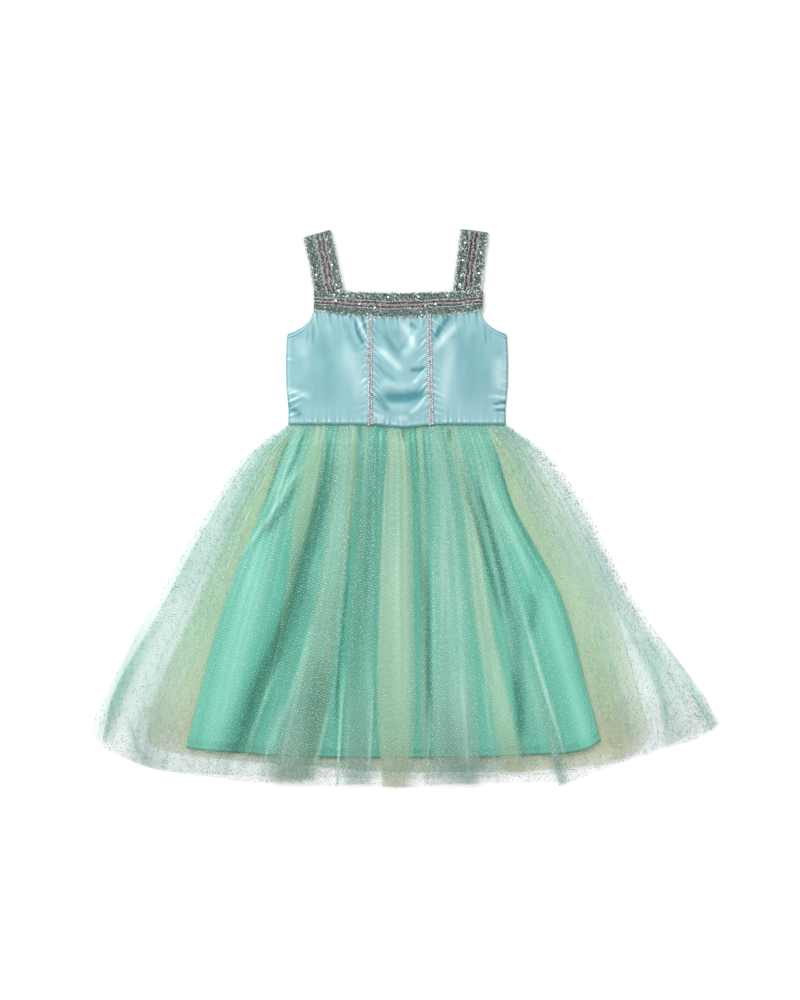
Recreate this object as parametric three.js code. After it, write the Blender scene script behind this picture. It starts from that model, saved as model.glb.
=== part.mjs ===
// A child's costume dress laid flat on its back, as a group of cloth walls.
// Millimetres, X to the right and Y to the shoulders as the laid dress is seen, Z up from the surface.
// The dress is drawn about the middle of its waist seam, then moved so that its box is centred.
import * as THREE from 'three';

// Driving sizes
const chestWidth = 300;
const sideSeamLength = 119;
const neckHeight = 180;
const neckWidth = 228;
const neckDip = 4;
const waistDip = 4;
const waistDipAt = 9;
const waistDipReach = 30;
const clothWallThickness = 1.2;
const trimThickness = 1.6;
const seamGap = 0.3;
const waistGap = 0.6;

// The bodice from the waist up
const armholeTop = { x: 114, y: 152 };
const underarm = { x: 149, y: sideSeamLength };
const bindingWidth = 4;
const bandWidth = 29;
const bandSag = 4;
const underBand = 2;
const braidWidth = 7.3;
const braidThickness = 1.4;
const backLap = 9;
const bodiceFill = 3.6;
const shoulderFill = 0.45;
const puffPower = 3;

// Height up the bodice and half its width there, along the side seam
const sideSeam = [
  { up: -waistDip, half: 148 },
  { up: 20, half: 147.5 },
  { up: 50, half: 150.5 },
  { up: 80, half: 151 },
  { up: sideSeamLength, half: underarm.x },
];

// The rows of a front panel, up from the waist
const panelRows = [0, 14, 32, 54, 78, 100, 113, 126, 139, 150, 165, 178];

// The two princess seams at the waist and at the neck
const princessSeams = {
  left: { waist: -36, neck: -37.5 },
  right: { waist: 46.5, neck: 42.5 },
};

// The broad soft creases of the front panels: middle, half length, half width, turn from upright, height
const bodiceCreases = [
  { x: -58, y: 128, length: 34, width: 9, turn: 6, height: 1.8 },
  { x: 66, y: 126, length: 36, width: 9, turn: -7, height: 1.8 },
  { x: -14, y: 84, length: 34, width: 9, turn: 32, height: 1.9 },
  { x: 22, y: 88, length: 36, width: 9, turn: -30, height: 1.9 },
  { x: 4, y: 34, length: 10, width: 24, turn: 0, height: -1.2 },
  { x: -104, y: 60, length: 40, width: 16, turn: 4, height: 0.9 },
  { x: 108, y: 52, length: 42, width: 16, turn: -3, height: 0.9 },
];

// The straps: the two ends of the foot, which stands on the neckline, and of the fold at the shoulder
const straps = {
  left: { foot: [-111.3, -72.6], fold: [[-125.5, 251], [-90.2, 261.5]] },
  right: { foot: [76.7, 113.3], fold: [[87.5, 263], [122.8, 258]] },
};

// The skirt's fold lines from left to right. Each gives its place at the waist, at the three stations below,
// and at the longest hem with its drop there, then how high each layer stands there above what it lies on.
const foldStations = [105, 240, 376];
const foldLines = [
  { name: 'tip',
    waist: -149, high: -250, mid: -329, low: -402, hem: -420, drop: 415, glitter: 0, back: 0.6 },
  { waist: -146, high: -238, mid: -314, low: -387, hem: -398, drop: 432, glitter: 4.5, back: 3.2 },
  { waist: -142, high: -225, mid: -295, low: -368, hem: -371, drop: 451, glitter: 1, back: 0 },
  { name: 'limeEdge',
    waist: -138, high: -214, mid: -275, low: -340, hem: -351, drop: 463, glitter: 3.5, lime: 0 },
  { waist: -133, high: -197, mid: -254, low: -309, hem: -322, drop: 471, glitter: 1.2, lime: 2.6 },
  { name: 'satinEdge',
    waist: -129, high: -176, mid: -233, low: -271, hem: -287, drop: 478, glitter: 2.5, satin: 0 },
  { waist: -124, high: -162, mid: -210, low: -249, hem: -260, drop: 482, glitter: 1, satin: 2.6 },
  { waist: -118, high: -149, mid: -184, low: -219, hem: -229, drop: 483, glitter: 4, satin: 3 },
  { name: 'limeStart',
    waist: -112, high: -136, mid: -165, low: -197, hem: -210, drop: 486, glitter: 2, satin: 1.6, front: 1 },
  { waist: -96, high: -111, mid: -143, low: -181, hem: -195, drop: 486, glitter: 6, satin: 0.8, front: 5 },
  { waist: -79, high: -88, mid: -121, low: -158, hem: -176, drop: 486, glitter: 0.6, satin: 0, front: 0.6 },
  { waist: -67, high: -75, mid: -102, low: -130, hem: -143, drop: 487, glitter: 6.5, satin: 1.4, front: 4.5 },
  { waist: -55, high: -62, mid: -83, low: -102, hem: -111, drop: 487, glitter: 1, satin: 2.4, front: 1 },
  { waist: -44, high: -48, mid: -64, low: -81, hem: -82, drop: 489, glitter: 5, satin: 2.2, front: 0.5 },
  { waist: -33, high: -36, mid: -47, low: -60, hem: -62, drop: 489, glitter: 1.5, satin: 1, front: 3 },
  { waist: -14, high: -20, mid: -28, low: -32, hem: -35, drop: 490, glitter: 6, satin: 0.4, front: 1 },
  { waist: -3, high: -5, mid: -7, low: -9, hem: -7, drop: 494, glitter: 3.5, satin: 1, front: 5.5 },
  { waist: 7, high: 10, mid: 14, low: 18, hem: 20, drop: 494, glitter: 5.5, satin: 1.8, front: 2.5 },
  { waist: 22, high: 29, mid: 32, low: 41, hem: 41, drop: 491, glitter: 0.4, satin: 2.2, front: 0.4 },
  { waist: 36, high: 44, mid: 47, low: 52, hem: 54, drop: 490, glitter: 5.5, satin: 1.6, front: 1.5 },
  { waist: 46, high: 58, mid: 67, low: 74, hem: 77, drop: 490, glitter: 3, satin: 0.6, front: 1 },
  { waist: 58, high: 74, mid: 88, low: 101, hem: 111, drop: 489, glitter: 6, satin: 0.4, front: 4.5 },
  { name: 'limeEnd',
    waist: 78, high: 98, mid: 120, low: 136, hem: 145, drop: 486, glitter: 3, satin: 1, front: 3 },
  { waist: 86, high: 112, mid: 139, low: 166, hem: 177, drop: 482, glitter: 0.8, satin: 1.6 },
  { waist: 94, high: 126, mid: 164, low: 202, hem: 221, drop: 478, glitter: 5, satin: 2.8 },
  { waist: 104, high: 136, mid: 187, low: 231, hem: 250, drop: 472, glitter: 1.4, satin: 2.4 },
  { name: 'satinEnd',
    waist: 112, high: 149, mid: 218, low: 259, hem: 279, drop: 467, glitter: 3.2, satin: 0 },
  { waist: 121, high: 180, mid: 250, low: 291, hem: 309, drop: 459, glitter: 1, lime: 3 },
  { name: 'limeStop',
    waist: 131, high: 223, mid: 291, low: 329, hem: 345, drop: 448, glitter: 4, lime: 0 },
  { waist: 138, high: 237, mid: 305, low: 367, hem: 383, drop: 436, glitter: 1, back: 0 },
  { waist: 144, high: 246, mid: 316, low: 397, hem: 416, drop: 421, glitter: 4.5, back: 3.4 },
  { name: 'end',
    waist: 149, high: 254, mid: 324, low: 424, hem: 439, drop: 403, glitter: 0, back: 0.6 },
];

// The rows of a skirt layer: the share of a fold line's length, and of its fold's height, that each stands at
const skirtRows = [
  { along: 0, rise: 0.12 },
  { along: 0.04, rise: 0.3 },
  { along: 0.12, rise: 0.7 },
  { along: 0.25, rise: 1 },
  { along: 0.4, rise: 1.15 },
  { along: 0.56, rise: 1.1 },
  { along: 0.72, rise: 1 },
  { along: 0.86, rise: 0.85 },
  { along: 0.945, rise: 0.7 },
  { along: 1, rise: 0.5 },
];

// The skirt's layers from the surface up. Hem is the share of the longest hem's length that a layer reaches.
const skirtLayers = [
  { name: 'glitter_tulle_back', side: 'back', cloth: 'glitterTulle',
    from: 'tip', to: 'end', hem: 0.985, lift: 'back' },
  { name: 'lime_tulle_back', side: 'back', cloth: 'limeTulle',
    from: 'limeEdge', to: 'limeStop', hem: 0.935, lift: 'lime' },
  { name: 'satin_skirt_back', side: 'back', cloth: 'skirtSatin',
    from: 'satinEdge', to: 'satinEnd', hem: 0.92, lift: 'none' },
  { name: 'satin_skirt_front', side: 'front', cloth: 'skirtSatin',
    from: 'satinEdge', to: 'satinEnd', hem: 0.922, lift: 'satin' },
  { name: 'lime_tulle_front', side: 'front', cloth: 'limeTulle',
    from: 'limeStart', to: 'limeEnd', hem: 0.98, lift: 'front' },
  { name: 'glitter_tulle_front', side: 'front', cloth: 'glitterTulle',
    from: 'tip', to: 'end', hem: 1, lift: 'glitter' },
];

// The finish of each cloth
const cloths = {
  bodiceSatin: { color: 0x9ccbd3, roughness: 0.35, metalness: 0 },
  skirtSatin: { color: 0x4db79c, roughness: 0.35, metalness: 0 },
  limeTulle: { color: 0xb5d6a0, roughness: 0.8, metalness: 0 },
  glitterTulle: { color: 0xa8d5cd, roughness: 0.7, metalness: 0 },
  sequinTrim: { color: 0x7f8c88, roughness: 0.4, metalness: 0.4 },
  beadBraid: { color: 0xb9bfc4, roughness: 0.4, metalness: 0.3 },
};

const dress = new THREE.Group();

// A cloth wall: a thin box whose broad faces are moved onto the points that place(column, row, face) gives.
// Row 0 is the edge nearest the shoulders, and face is 0 on the underside and 1 on the upper side.
function addWall(name, cloth, columns, rows, place) {
  const geometry = new THREE.BoxGeometry(1, 1, 1, columns, rows, 1);
  const position = geometry.attributes.position;
  for (let i = 0; i < position.count; i += 1) {
    const column = Math.round((position.getX(i) + 0.5) * columns);
    const row = Math.round((0.5 - position.getY(i)) * rows);
    const face = Math.round(position.getZ(i) + 0.5);
    const point = place(column, row, face);
    position.setXYZ(i, point.x, point.y, point.z);
  }
  geometry.computeVertexNormals();
  const mesh = new THREE.Mesh(geometry, new THREE.MeshStandardMaterial(cloths[cloth]));
  mesh.name = name;
  dress.add(mesh);
}

function mix(a, b, share) {
  return a + (b - a) * share;
}

function ramp(low, high, value) {
  return THREE.MathUtils.smoothstep(value, low, high);
}

// The bodice's outline and its height
function seamHalf(y) {
  const upper = Math.max(1, sideSeam.findIndex((row) => row.up >= y));
  const last = y > sideSeamLength ? sideSeam.length - 1 : upper;
  const from = sideSeam[last - 1];
  const to = sideSeam[last];
  return mix(from.half, to.half, Math.min(1, (y - from.up) / (to.up - from.up)));
}

// Half the width of a panel whose armhole edge lies this far inside the finished one
function panelHalf(y, inset) {
  const run = underarm.x - armholeTop.x;
  const rise = armholeTop.y - underarm.y;
  const across = inset * (Math.hypot(run, rise) / rise);
  const armhole = underarm.x - (y - underarm.y) * (run / rise) - across;
  return Math.min(seamHalf(y), Math.max(armhole, armholeTop.x - inset));
}

function neckline(x) {
  return neckHeight - neckDip * (1 - (x / (neckWidth / 2)) ** 2);
}

function waistline(x) {
  return -waistDip * Math.exp(-(((x - waistDipAt) / waistDipReach) ** 2));
}

function princessX(seam, y) {
  return mix(seam.waist, seam.neck, y / neckHeight);
}

// The underside of the front panels: at the side seams it lies on the back, and it fills out between them
function frontUnder(x, y) {
  const across = 1 - Math.min(1, Math.abs(x) / (chestWidth / 2)) ** puffPower;
  const down = mix(1, shoulderFill, ramp(0, neckHeight, y));
  return clothWallThickness + seamGap + bodiceFill * across * down + creaseHeight(x, y);
}

// Creases fade out at the seams, the waist and the neckband, where the cloth is sewn
function creaseHeight(x, y) {
  let height = 0;
  for (const crease of bodiceCreases) {
    const turn = THREE.MathUtils.degToRad(crease.turn);
    const along = (y - crease.y) * Math.cos(turn) - (x - crease.x) * Math.sin(turn);
    const beside = (x - crease.x) * Math.cos(turn) + (y - crease.y) * Math.sin(turn);
    height += crease.height * Math.exp(-((along / crease.length) ** 2) - (beside / crease.width) ** 2);
  }
  const seams = [princessX(princessSeams.left, y), princessX(princessSeams.right, y)];
  const fromSeam = Math.min(...seams.map((at) => Math.abs(x - at)));
  const fromSide = panelHalf(y, bindingWidth) - Math.abs(x);
  const fromBand = neckline(x) - bandWidth - bandSag - y;
  return height * ramp(4, 14, fromSeam) * ramp(3, 20, fromSide) * ramp(2, 14, y) * ramp(0, 16, fromBand);
}

function frontTop(x, y) {
  return frontUnder(x, y) + clothWallThickness;
}

// A front panel between two upright edges, each a function of the height
function addFrontPanel(name, columns, leftEdge, rightEdge) {
  const rows = panelRows.length - 1;
  addWall(name, 'bodiceSatin', columns, rows, (column, row, face) => {
    const up = panelRows[rows - row];
    const x = mix(leftEdge(up), rightEdge(up), column / columns);
    let y = up;
    if (row === rows) y = waistline(x);
    if (row === 0) y = neckline(x) - underBand;
    return { x, y, z: frontUnder(x, up) + face * clothWallThickness };
  });
}

const besideSeam = seamGap / 2;
const panelInset = bindingWidth + seamGap;
addFrontPanel(
  'bodice_front_left', 7,
  (y) => -panelHalf(y, panelInset),
  (y) => princessX(princessSeams.left, y) - besideSeam,
);
addFrontPanel(
  'bodice_front_centre', 8,
  (y) => princessX(princessSeams.left, y) + besideSeam,
  (y) => princessX(princessSeams.right, y) - besideSeam,
);
addFrontPanel(
  'bodice_front_right', 7,
  (y) => princessX(princessSeams.right, y) + besideSeam,
  (y) => panelHalf(y, panelInset),
);

// The back panels lie flat on the surface. The left one steps up at the centre back, where it is lapped.
const lapStep = clothWallThickness + seamGap;
const backColumns = {
  left: [
    { share: 1, z: 0 },
    { share: 0.55, z: 0 },
    { at: -backLap - 6, z: 0 },
    { at: -backLap - 1, z: lapStep },
    { at: backLap, z: lapStep },
  ],
  right: [
    { at: -backLap, z: 0 },
    { at: 30, z: 0 },
    { share: 0.55, z: 0 },
    { share: 1, z: 0 },
  ],
};

function addBackPanel(name, side, sign) {
  const columns = backColumns[side];
  const rows = panelRows.length - 1;
  addWall(name, 'bodiceSatin', columns.length - 1, rows, (column, row, face) => {
    const up = panelRows[rows - row];
    const place = columns[column];
    const x = place.share ? sign * place.share * panelHalf(up, panelInset) : place.at;
    const y = row === 0 ? neckline(x) : up;
    return { x, y, z: place.z + face * clothWallThickness };
  });
}

addBackPanel('bodice_back_left', 'left', -1);
addBackPanel('bodice_back_right', 'right', 1);

// A strip that lies on the surface, turns over at its fold and comes back on top, as a strap or binding does.
// Its upper leg starts at the two points of foot and folds at the two points of fold.
function addFoldedStrip(name, cloth, foot, fold, thickness, legSteps, upperAt) {
  const turns = [-45, 0, 45];
  const stations = [];
  for (let i = 0; i <= legSteps; i += 1) stations.push({ along: i / legSteps, turn: 90 });
  for (const turn of turns) stations.push({ along: 1, turn: -turn });
  for (let i = legSteps; i >= 0; i -= 1) stations.push({ along: i / legSteps, turn: -90 });
  const rows = stations.length - 1;
  const middle = (pair) => new THREE.Vector2((pair[0][0] + pair[1][0]) / 2, (pair[0][1] + pair[1][1]) / 2);
  const ahead = middle(fold).sub(middle(foot)).normalize();
  const spread = new THREE.Vector2(foot[1][0] - foot[0][0], foot[1][1] - foot[0][1]);
  const swapped = spread.cross(ahead) < 0;
  addWall(name, cloth, 1, rows, (column, row, face) => {
    const station = stations[rows - row];
    const side = swapped ? 1 - column : column;
    const x = mix(foot[side][0], fold[side][0], station.along);
    const y = mix(foot[side][1], fold[side][1], station.along);
    const upper = upperAt(x, y, station.along);
    const turn = THREE.MathUtils.degToRad(station.turn);
    const radius = (upper - thickness) / 2 + face * thickness;
    const reach = radius * Math.cos(turn);
    return {
      x: x + ahead.x * reach,
      y: y + ahead.y * reach,
      z: (upper + thickness) / 2 + radius * Math.sin(turn),
    };
  });
}

// The armhole bindings, with the fold at the underarm
const armholeRun = new THREE.Vector2(underarm.x - armholeTop.x, underarm.y - armholeTop.y).normalize();
const inward = new THREE.Vector2(armholeRun.y, -armholeRun.x).multiplyScalar(bindingWidth);
const bindingTopClearance = 1;
const bindingHead = new THREE.Vector2(armholeTop.x, armholeTop.y);
const bindingFold = new THREE.Vector2(underarm.x, underarm.y);
bindingHead.addScaledVector(armholeRun, bindingTopClearance);
bindingFold.addScaledVector(armholeRun, -clothWallThickness);

function addBinding(name, sign) {
  const pair = (point) => [[sign * point.x, point.y], [sign * (point.x + inward.x), point.y + inward.y]];
  const upperAt = (x, y, along) => mix(frontUnder(x, y), clothWallThickness + seamGap, along);
  addFoldedStrip(name, 'bodiceSatin', pair(bindingHead), pair(bindingFold), clothWallThickness, 4, upperAt);
}

addBinding('armhole_binding_left', -1);
addBinding('armhole_binding_right', 1);

// The neckband lies on the top of the three front panels
const onPanel = 0.35;

function bandUnder(x, y) {
  return frontTop(x, y) + onPanel;
}

const bandColumns = 24;
const bandRows = 3;
addWall('neckband', 'sequinTrim', bandColumns, bandRows, (column, row, face) => {
  const x = mix(-neckWidth / 2, neckWidth / 2, column / bandColumns);
  const high = neckline(x);
  const low = high - bandWidth - bandSag * (1 - (x / (neckWidth / 2)) ** 2);
  const y = mix(high, low, row / bandRows);
  return { x, y, z: bandUnder(x, y) + face * trimThickness };
});

// The straps butt against the neckband in front and against the back panels behind
function addStrap(name, strap) {
  const foot = strap.foot.map((x) => [x, neckline(x) + seamGap]);
  const upperAt = (x, y, along) => mix(bandUnder(x, neckHeight), trimThickness + seamGap, along ** 2);
  addFoldedStrip(name, 'sequinTrim', foot, strap.fold, trimThickness, 5, upperAt);
}

addStrap('strap_left', straps.left);
addStrap('strap_right', straps.right);

// The braid over each princess seam, from the waist to the neckband
const braidRows = 14;

function addBraid(name, seam) {
  const foot = waistline(seam.waist) + 1;
  const headX = princessX(seam, neckHeight);
  const head = neckline(headX) - bandWidth - bandSag - seamGap;
  addWall(name, 'beadBraid', 2, braidRows, (column, row, face) => {
    const y = mix(head, foot, row / braidRows);
    const x = princessX(seam, y) + (column / 2 - 0.5) * braidWidth;
    const z = frontTop(x, y) + onPanel + face * braidThickness;
    return { x, y, z };
  });
}

addBraid('seam_braid_left', princessSeams.left);
addBraid('seam_braid_right', princessSeams.right);

// Each fold line of the skirt as a smooth curve on the surface. The waist seam dips in front only.
const foldCurves = (isFront) => foldLines.map((line) => {
  const start = new THREE.Vector2(line.waist, (isFront ? waistline(line.waist) : 0) - waistGap);
  const stations = [line.high, line.mid, line.low].map((x, i) => new THREE.Vector2(x, -foldStations[i]));
  return new THREE.SplineCurve([start, ...stations, new THREE.Vector2(line.hem, -line.drop)]);
});

const curves = { front: foldCurves(true), back: foldCurves(false) };
const lineIndex = (name) => foldLines.findIndex((line) => line.name === name);
const hemOverhang = 0.03;

// The upper side of whatever a layer lies on, at a fold line and a row
const laidTops = foldLines.map(() => skirtRows.map(() => 0));

function addSkirtLayer(layer) {
  const from = lineIndex(layer.from);
  const columns = lineIndex(layer.to) - from;
  const rows = skirtRows.filter((row) => row.along < layer.hem - hemOverhang / 2);
  const heights = foldLines.map(() => []);
  for (let column = from; column <= from + columns; column += 1) {
    const lift = foldLines[column][layer.lift] ?? 0;
    skirtRows.forEach((row, i) => {
      heights[column][i] = laidTops[column][i] + lift * row.rise;
    });
  }
  addWall(layer.name, layer.cloth, columns, rows.length, (column, row, face) => {
    const line = from + column;
    const last = row === rows.length;
    const along = last ? layer.hem : rows[row].along;
    const point = curves[layer.side][line].getPointAt(along);
    const z = heights[line][Math.min(row, skirtRows.length - 1)];
    return { x: point.x, y: point.y, z: z + face * clothWallThickness };
  });
  for (let column = from; column <= from + columns; column += 1) {
    skirtRows.forEach((row, i) => {
      if (row.along > layer.hem + hemOverhang) return;
      laidTops[column][i] = heights[column][i] + clothWallThickness + seamGap;
    });
  }
}

skirtLayers.forEach(addSkirtLayer);

// The dress is centred on its box, with its underside on the surface
const box = new THREE.Box3().setFromObject(dress);
const centre = box.getCenter(new THREE.Vector3());
dress.position.set(-centre.x, -centre.y, -box.min.z);

export default dress;
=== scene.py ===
# Child's costume dress, laid flat and seen from straight above
import math

import bpy
import numpy as np
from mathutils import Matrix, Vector


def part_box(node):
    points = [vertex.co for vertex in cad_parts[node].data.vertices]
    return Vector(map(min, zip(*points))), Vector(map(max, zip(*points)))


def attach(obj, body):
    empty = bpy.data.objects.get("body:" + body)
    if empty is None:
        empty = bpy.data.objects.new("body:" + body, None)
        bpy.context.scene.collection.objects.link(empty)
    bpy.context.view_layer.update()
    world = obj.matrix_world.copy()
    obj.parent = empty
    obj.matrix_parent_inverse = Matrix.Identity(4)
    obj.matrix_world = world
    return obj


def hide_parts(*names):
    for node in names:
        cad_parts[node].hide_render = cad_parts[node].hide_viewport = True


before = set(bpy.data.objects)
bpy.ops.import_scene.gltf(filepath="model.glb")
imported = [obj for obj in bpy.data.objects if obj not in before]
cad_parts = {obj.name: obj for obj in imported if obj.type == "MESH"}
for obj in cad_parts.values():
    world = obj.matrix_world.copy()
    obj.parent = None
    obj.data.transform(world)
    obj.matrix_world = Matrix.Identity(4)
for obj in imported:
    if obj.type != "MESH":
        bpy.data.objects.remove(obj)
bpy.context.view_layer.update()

mm = 0.001
rng = np.random.default_rng(17)

# All sizes below are in mm from the middle of the waist seam, and the frame says where that is
centreLow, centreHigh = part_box("bodice_front_centre")
originX = (centreLow[0] + centreHigh[0]) / 2 - 4.5 * mm
originY = centreLow[1] + 3.9 * mm


# camera, floor and light

view = {"x": -5.4, "y": 11.5, "height": 3200, "frameHeight": 1357, "sensor": 36}

light = {
    "sky": {"strong": 1.12, "weak": 0.42, "from": (-0.45, 0.62, 0.64), "reach": (-0.4, 1.0)},
    "key": {"place": (-1100, 1700, 2300), "size": 1300, "power": 36},
    "fill": {"place": (1500, -300, 2000), "size": 2200, "power": 6},
    "rake": {"place": (-2300, 300, 900), "size": 900, "power": 9},
    "floor": {"size": 9000, "white": 0.93},
}


def makeCamera():
    data = bpy.data.cameras.new("camera")
    data.sensor_width = view["sensor"]
    data.lens = view["sensor"] * view["height"] / view["frameHeight"]
    camera = bpy.data.objects.new("camera", data)
    camera.location = (view["x"] * mm, view["y"] * mm, view["height"] * mm)
    bpy.context.scene.collection.objects.link(camera)
    bpy.context.scene.camera = camera


def makeLamp(name):
    settings = light[name]
    data = bpy.data.lights.new(name, "AREA")
    data.shape = "DISK"
    data.size = settings["size"] * mm
    data.energy = settings["power"]
    lamp = bpy.data.objects.new(name, data)
    lamp.location = Vector(settings["place"]) * mm
    lamp.rotation_euler = (-lamp.location).to_track_quat("-Z", "Y").to_euler()
    lamp.visible_camera = False
    bpy.context.scene.collection.objects.link(lamp)


def makeSky():
    # brighter towards the key light, as a studio with one big window is
    world = bpy.data.worlds.new("studio")
    world.use_nodes = True
    sky, tree = light["sky"], Tree(world.node_tree)
    outwards = tree.node("ShaderNodeTexCoord", {}, {}, "Generated")
    towards = tree.node("ShaderNodeVectorMath", {"operation": "DOT_PRODUCT"}, {0: outwards, 1: sky["from"]},
                        "Value")
    background = world.node_tree.nodes["Background"]
    background.inputs["Color"].default_value = (1, 1, 1, 1)
    tree.link(tree.between(towards, *sky["reach"], sky["weak"], sky["strong"]), background.inputs["Strength"])
    bpy.context.scene.world = world


def makeFloor():
    half = light["floor"]["size"] / 2
    data = bpy.data.meshes.new("floor")
    corners = [(-half, -half), (half, -half), (half, half), (-half, half)]
    data.from_pydata([(x * mm, y * mm, -0.0003) for x, y in corners], [], [(0, 1, 2, 3)])
    floor = bpy.data.objects.new("floor", data)
    paper = Finish("white paper", {"Roughness": 0.9, "Specular IOR Level": 0.1})
    white = light["floor"]["white"]
    grain = paper.noise(40, detail=2)
    paper.feed("Base Color", paper.blend((white, white, white, 1), (white * 0.995,) * 3 + (1,), grain))
    data.materials.append(paper.material)
    bpy.context.scene.collection.objects.link(floor)


def makeStudio():
    makeCamera()
    for name in ("key", "fill", "rake"):
        makeLamp(name)
    makeSky()
    makeFloor()
    bpy.context.scene.view_settings.view_transform = "Standard"
    bpy.context.scene.cycles.transparent_max_bounces = 32
    print("studio ready")


# shader maths: a wrapped socket with the usual operators


class Wire:
    def __init__(self, tree, socket):
        self.tree, self.socket = tree, socket

    def maths(self, operation, first, second):
        return self.tree.node("ShaderNodeMath", {"operation": operation}, {0: first, 1: second})

    def __add__(self, other):
        return self.maths("ADD", self, other)

    def __radd__(self, other):
        return self.maths("ADD", other, self)

    def __sub__(self, other):
        return self.maths("SUBTRACT", self, other)

    def __rsub__(self, other):
        return self.maths("SUBTRACT", other, self)

    def __mul__(self, other):
        return self.maths("MULTIPLY", self, other)

    def __rmul__(self, other):
        return self.maths("MULTIPLY", other, self)

    def __pow__(self, other):
        return self.maths("POWER", self, other)

    def __rpow__(self, other):
        return self.maths("POWER", other, self)


class Tree:
    def __init__(self, tree):
        self.tree = tree

    def node(self, kind, settings, sockets, output=0):
        made = self.tree.nodes.new(kind)
        for key, value in settings.items():
            setattr(made, key, value)
        for key, value in sockets.items():
            if isinstance(value, Wire):
                self.tree.links.new(value.socket, made.inputs[key])
            else:
                made.inputs[key].default_value = value
        return Wire(self, made.outputs[output])

    def link(self, wire, socket):
        self.tree.links.new(wire.socket, socket)

    def between(self, wire, low, high, toLow=0.0, toHigh=1.0):
        sockets = {"Value": wire, "From Min": low, "From Max": high, "To Min": toLow, "To Max": toHigh}
        return self.node("ShaderNodeMapRange", {}, sockets)

    def blend(self, first, second, share):
        return self.node("ShaderNodeMix", {"data_type": "RGBA"}, {0: share, 6: first, 7: second}, 2)


class Finish(Tree):
    def __init__(self, name, fixed):
        self.material = bpy.data.materials.new(name)
        self.material.use_nodes = True
        super().__init__(self.material.node_tree)
        self.shader = self.tree.nodes["Principled BSDF"]
        for socket, value in fixed.items():
            self.shader.inputs[socket].default_value = value

    def feed(self, socket, wire):
        self.link(wire, self.shader.inputs[socket])

    def value(self, name):
        return self.node("ShaderNodeAttribute", {"attribute_name": name}, {}, "Fac")

    def cloth(self, stretch=(1, 1, 1)):
        # metres along and down the cut cloth
        flat = self.node("ShaderNodeUVMap", {"uv_map": "cloth"}, {})
        return self.node("ShaderNodeVectorMath", {"operation": "MULTIPLY"}, {0: flat, 1: stretch})

    def place(self, stretch=(1, 1, 1)):
        spot = self.node("ShaderNodeTexCoord", {}, {}, "Object")
        return self.node("ShaderNodeVectorMath", {"operation": "MULTIPLY"}, {0: spot, 1: stretch})

    def noise(self, scale, detail=2.0, at=None):
        sockets = {"Vector": at or self.place(), "Scale": scale, "Detail": detail}
        return self.node("ShaderNodeTexNoise", {}, sockets)

    def clamped(self, wire, factor):
        return self.node("ShaderNodeMath", {"operation": "MULTIPLY", "use_clamp": True}, {0: wire, 1: factor})

    def paintShading(self, colour, deep, pale):
        # painted shade and highlight: the mesh's shading value is -1 in a hollow, which takes the deep
        # colour, and 1 on a ridge, which takes the pale one
        paintedShading = self.value("paintedShading")
        hollow, ridge = self.clamped(paintedShading, -1.0), self.clamped(paintedShading, 1.0)
        return self.blend(self.blend(colour, deep, hollow), pale, ridge * 0.8)

    def bump(self, height, strength, distance):
        sockets = {"Height": height, "Strength": strength, "Distance": distance}
        self.feed("Normal", self.node("ShaderNodeBump", {}, sockets))


# finishes


def satin(name, colours, roughness, metallic):
    # fine weave, long faint slubs and slow drifts of colour; hollows get a painted shade and ridges a painted
    # highlight
    made = Finish(name, {"Roughness": roughness, "Specular IOR Level": 0.6, "Metallic": metallic,
                         "Sheen Weight": 0.12, "Sheen Roughness": 0.35, "Anisotropic": 0.35})
    deep, middle, pale = colours
    slub = made.between(made.noise(60, 3, made.cloth((1, 0.12, 1))), 0.3, 0.75)
    drift = made.between(made.noise(9, 3), 0.3, 0.7)
    colour = made.blend(middle, pale, slub * 0.18 + drift * 0.12)
    made.feed("Base Color", made.paintShading(colour, deep, pale))
    weave = made.noise(1400, 1, made.cloth((1, 0.35, 1)))
    crumple = made.noise(95, 3, made.cloth((1, 0.6, 1)))
    made.feed("Roughness", made.between(drift + weave, 0.6, 1.4, roughness - 0.06, roughness + 0.08))
    made.bump(weave * 0.25 + crumple, 0.35, 0.0012)
    return made.material


def tulle(name, colours, ply, hem, hemDown):
    # see-through net: the more cloth is gathered into a place, the less shows through it
    made = Finish(name, {"Roughness": 0.62, "Specular IOR Level": 0.25, "Sheen Weight": 0.25,
                         "Sheen Roughness": 0.4})
    deep, middle, pale = colours
    drift = made.between(made.noise(14, 2, made.place((1, 0.3, 1))), 0.3, 0.7)
    down = made.node("ShaderNodeSeparateXYZ", {}, {0: made.cloth()}, "Y")
    # towards the hem the colour turns to the hem colour, a painted shade; below, hollows take painted shade
    # and ridges painted highlight
    colour = made.blend(made.blend(middle, pale, drift * 0.4), hem, made.between(down, *hemDown))
    made.feed("Base Color", made.paintShading(colour, deep, pale))
    threads = made.noise(900, 1, made.cloth())
    streaks = made.noise(160, 2, made.cloth((1, 0.02, 1)))
    gathered = made.value("gathered") * made.between(threads, 0.25, 0.75, 0.75, 1.25)
    gathered = gathered * made.between(streaks, 0.3, 0.7, 0.85, 1.15)
    made.feed("Alpha", 1 - (1 - ply) ** gathered)
    return made.material


def plain(name, colour, roughness, metallic=0.0, coat=0.0):
    fixed = {"Base Color": colour, "Roughness": roughness, "Metallic": metallic, "Coat Weight": coat}
    return Finish(name, fixed).material


def beaded(name, dark, pale, roughness, metallic):
    made = Finish(name, {"Metallic": metallic, "Roughness": roughness, "Coat Weight": 0.3})
    speck = made.between(made.noise(420, 1), 0.38, 0.62)
    made.feed("Base Color", made.blend(dark, pale, speck))
    return made.material


# shapes


def mix(low, high, share):
    return low + (high - low) * share


def ramp(low, high, value):
    share = np.clip((value - low) / (high - low), 0, 1)
    return share * share * (3 - 2 * share)


def toFrame(points):
    return np.asarray(points, float).reshape(-1, 3) * mm + (originX, originY, 0)


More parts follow.
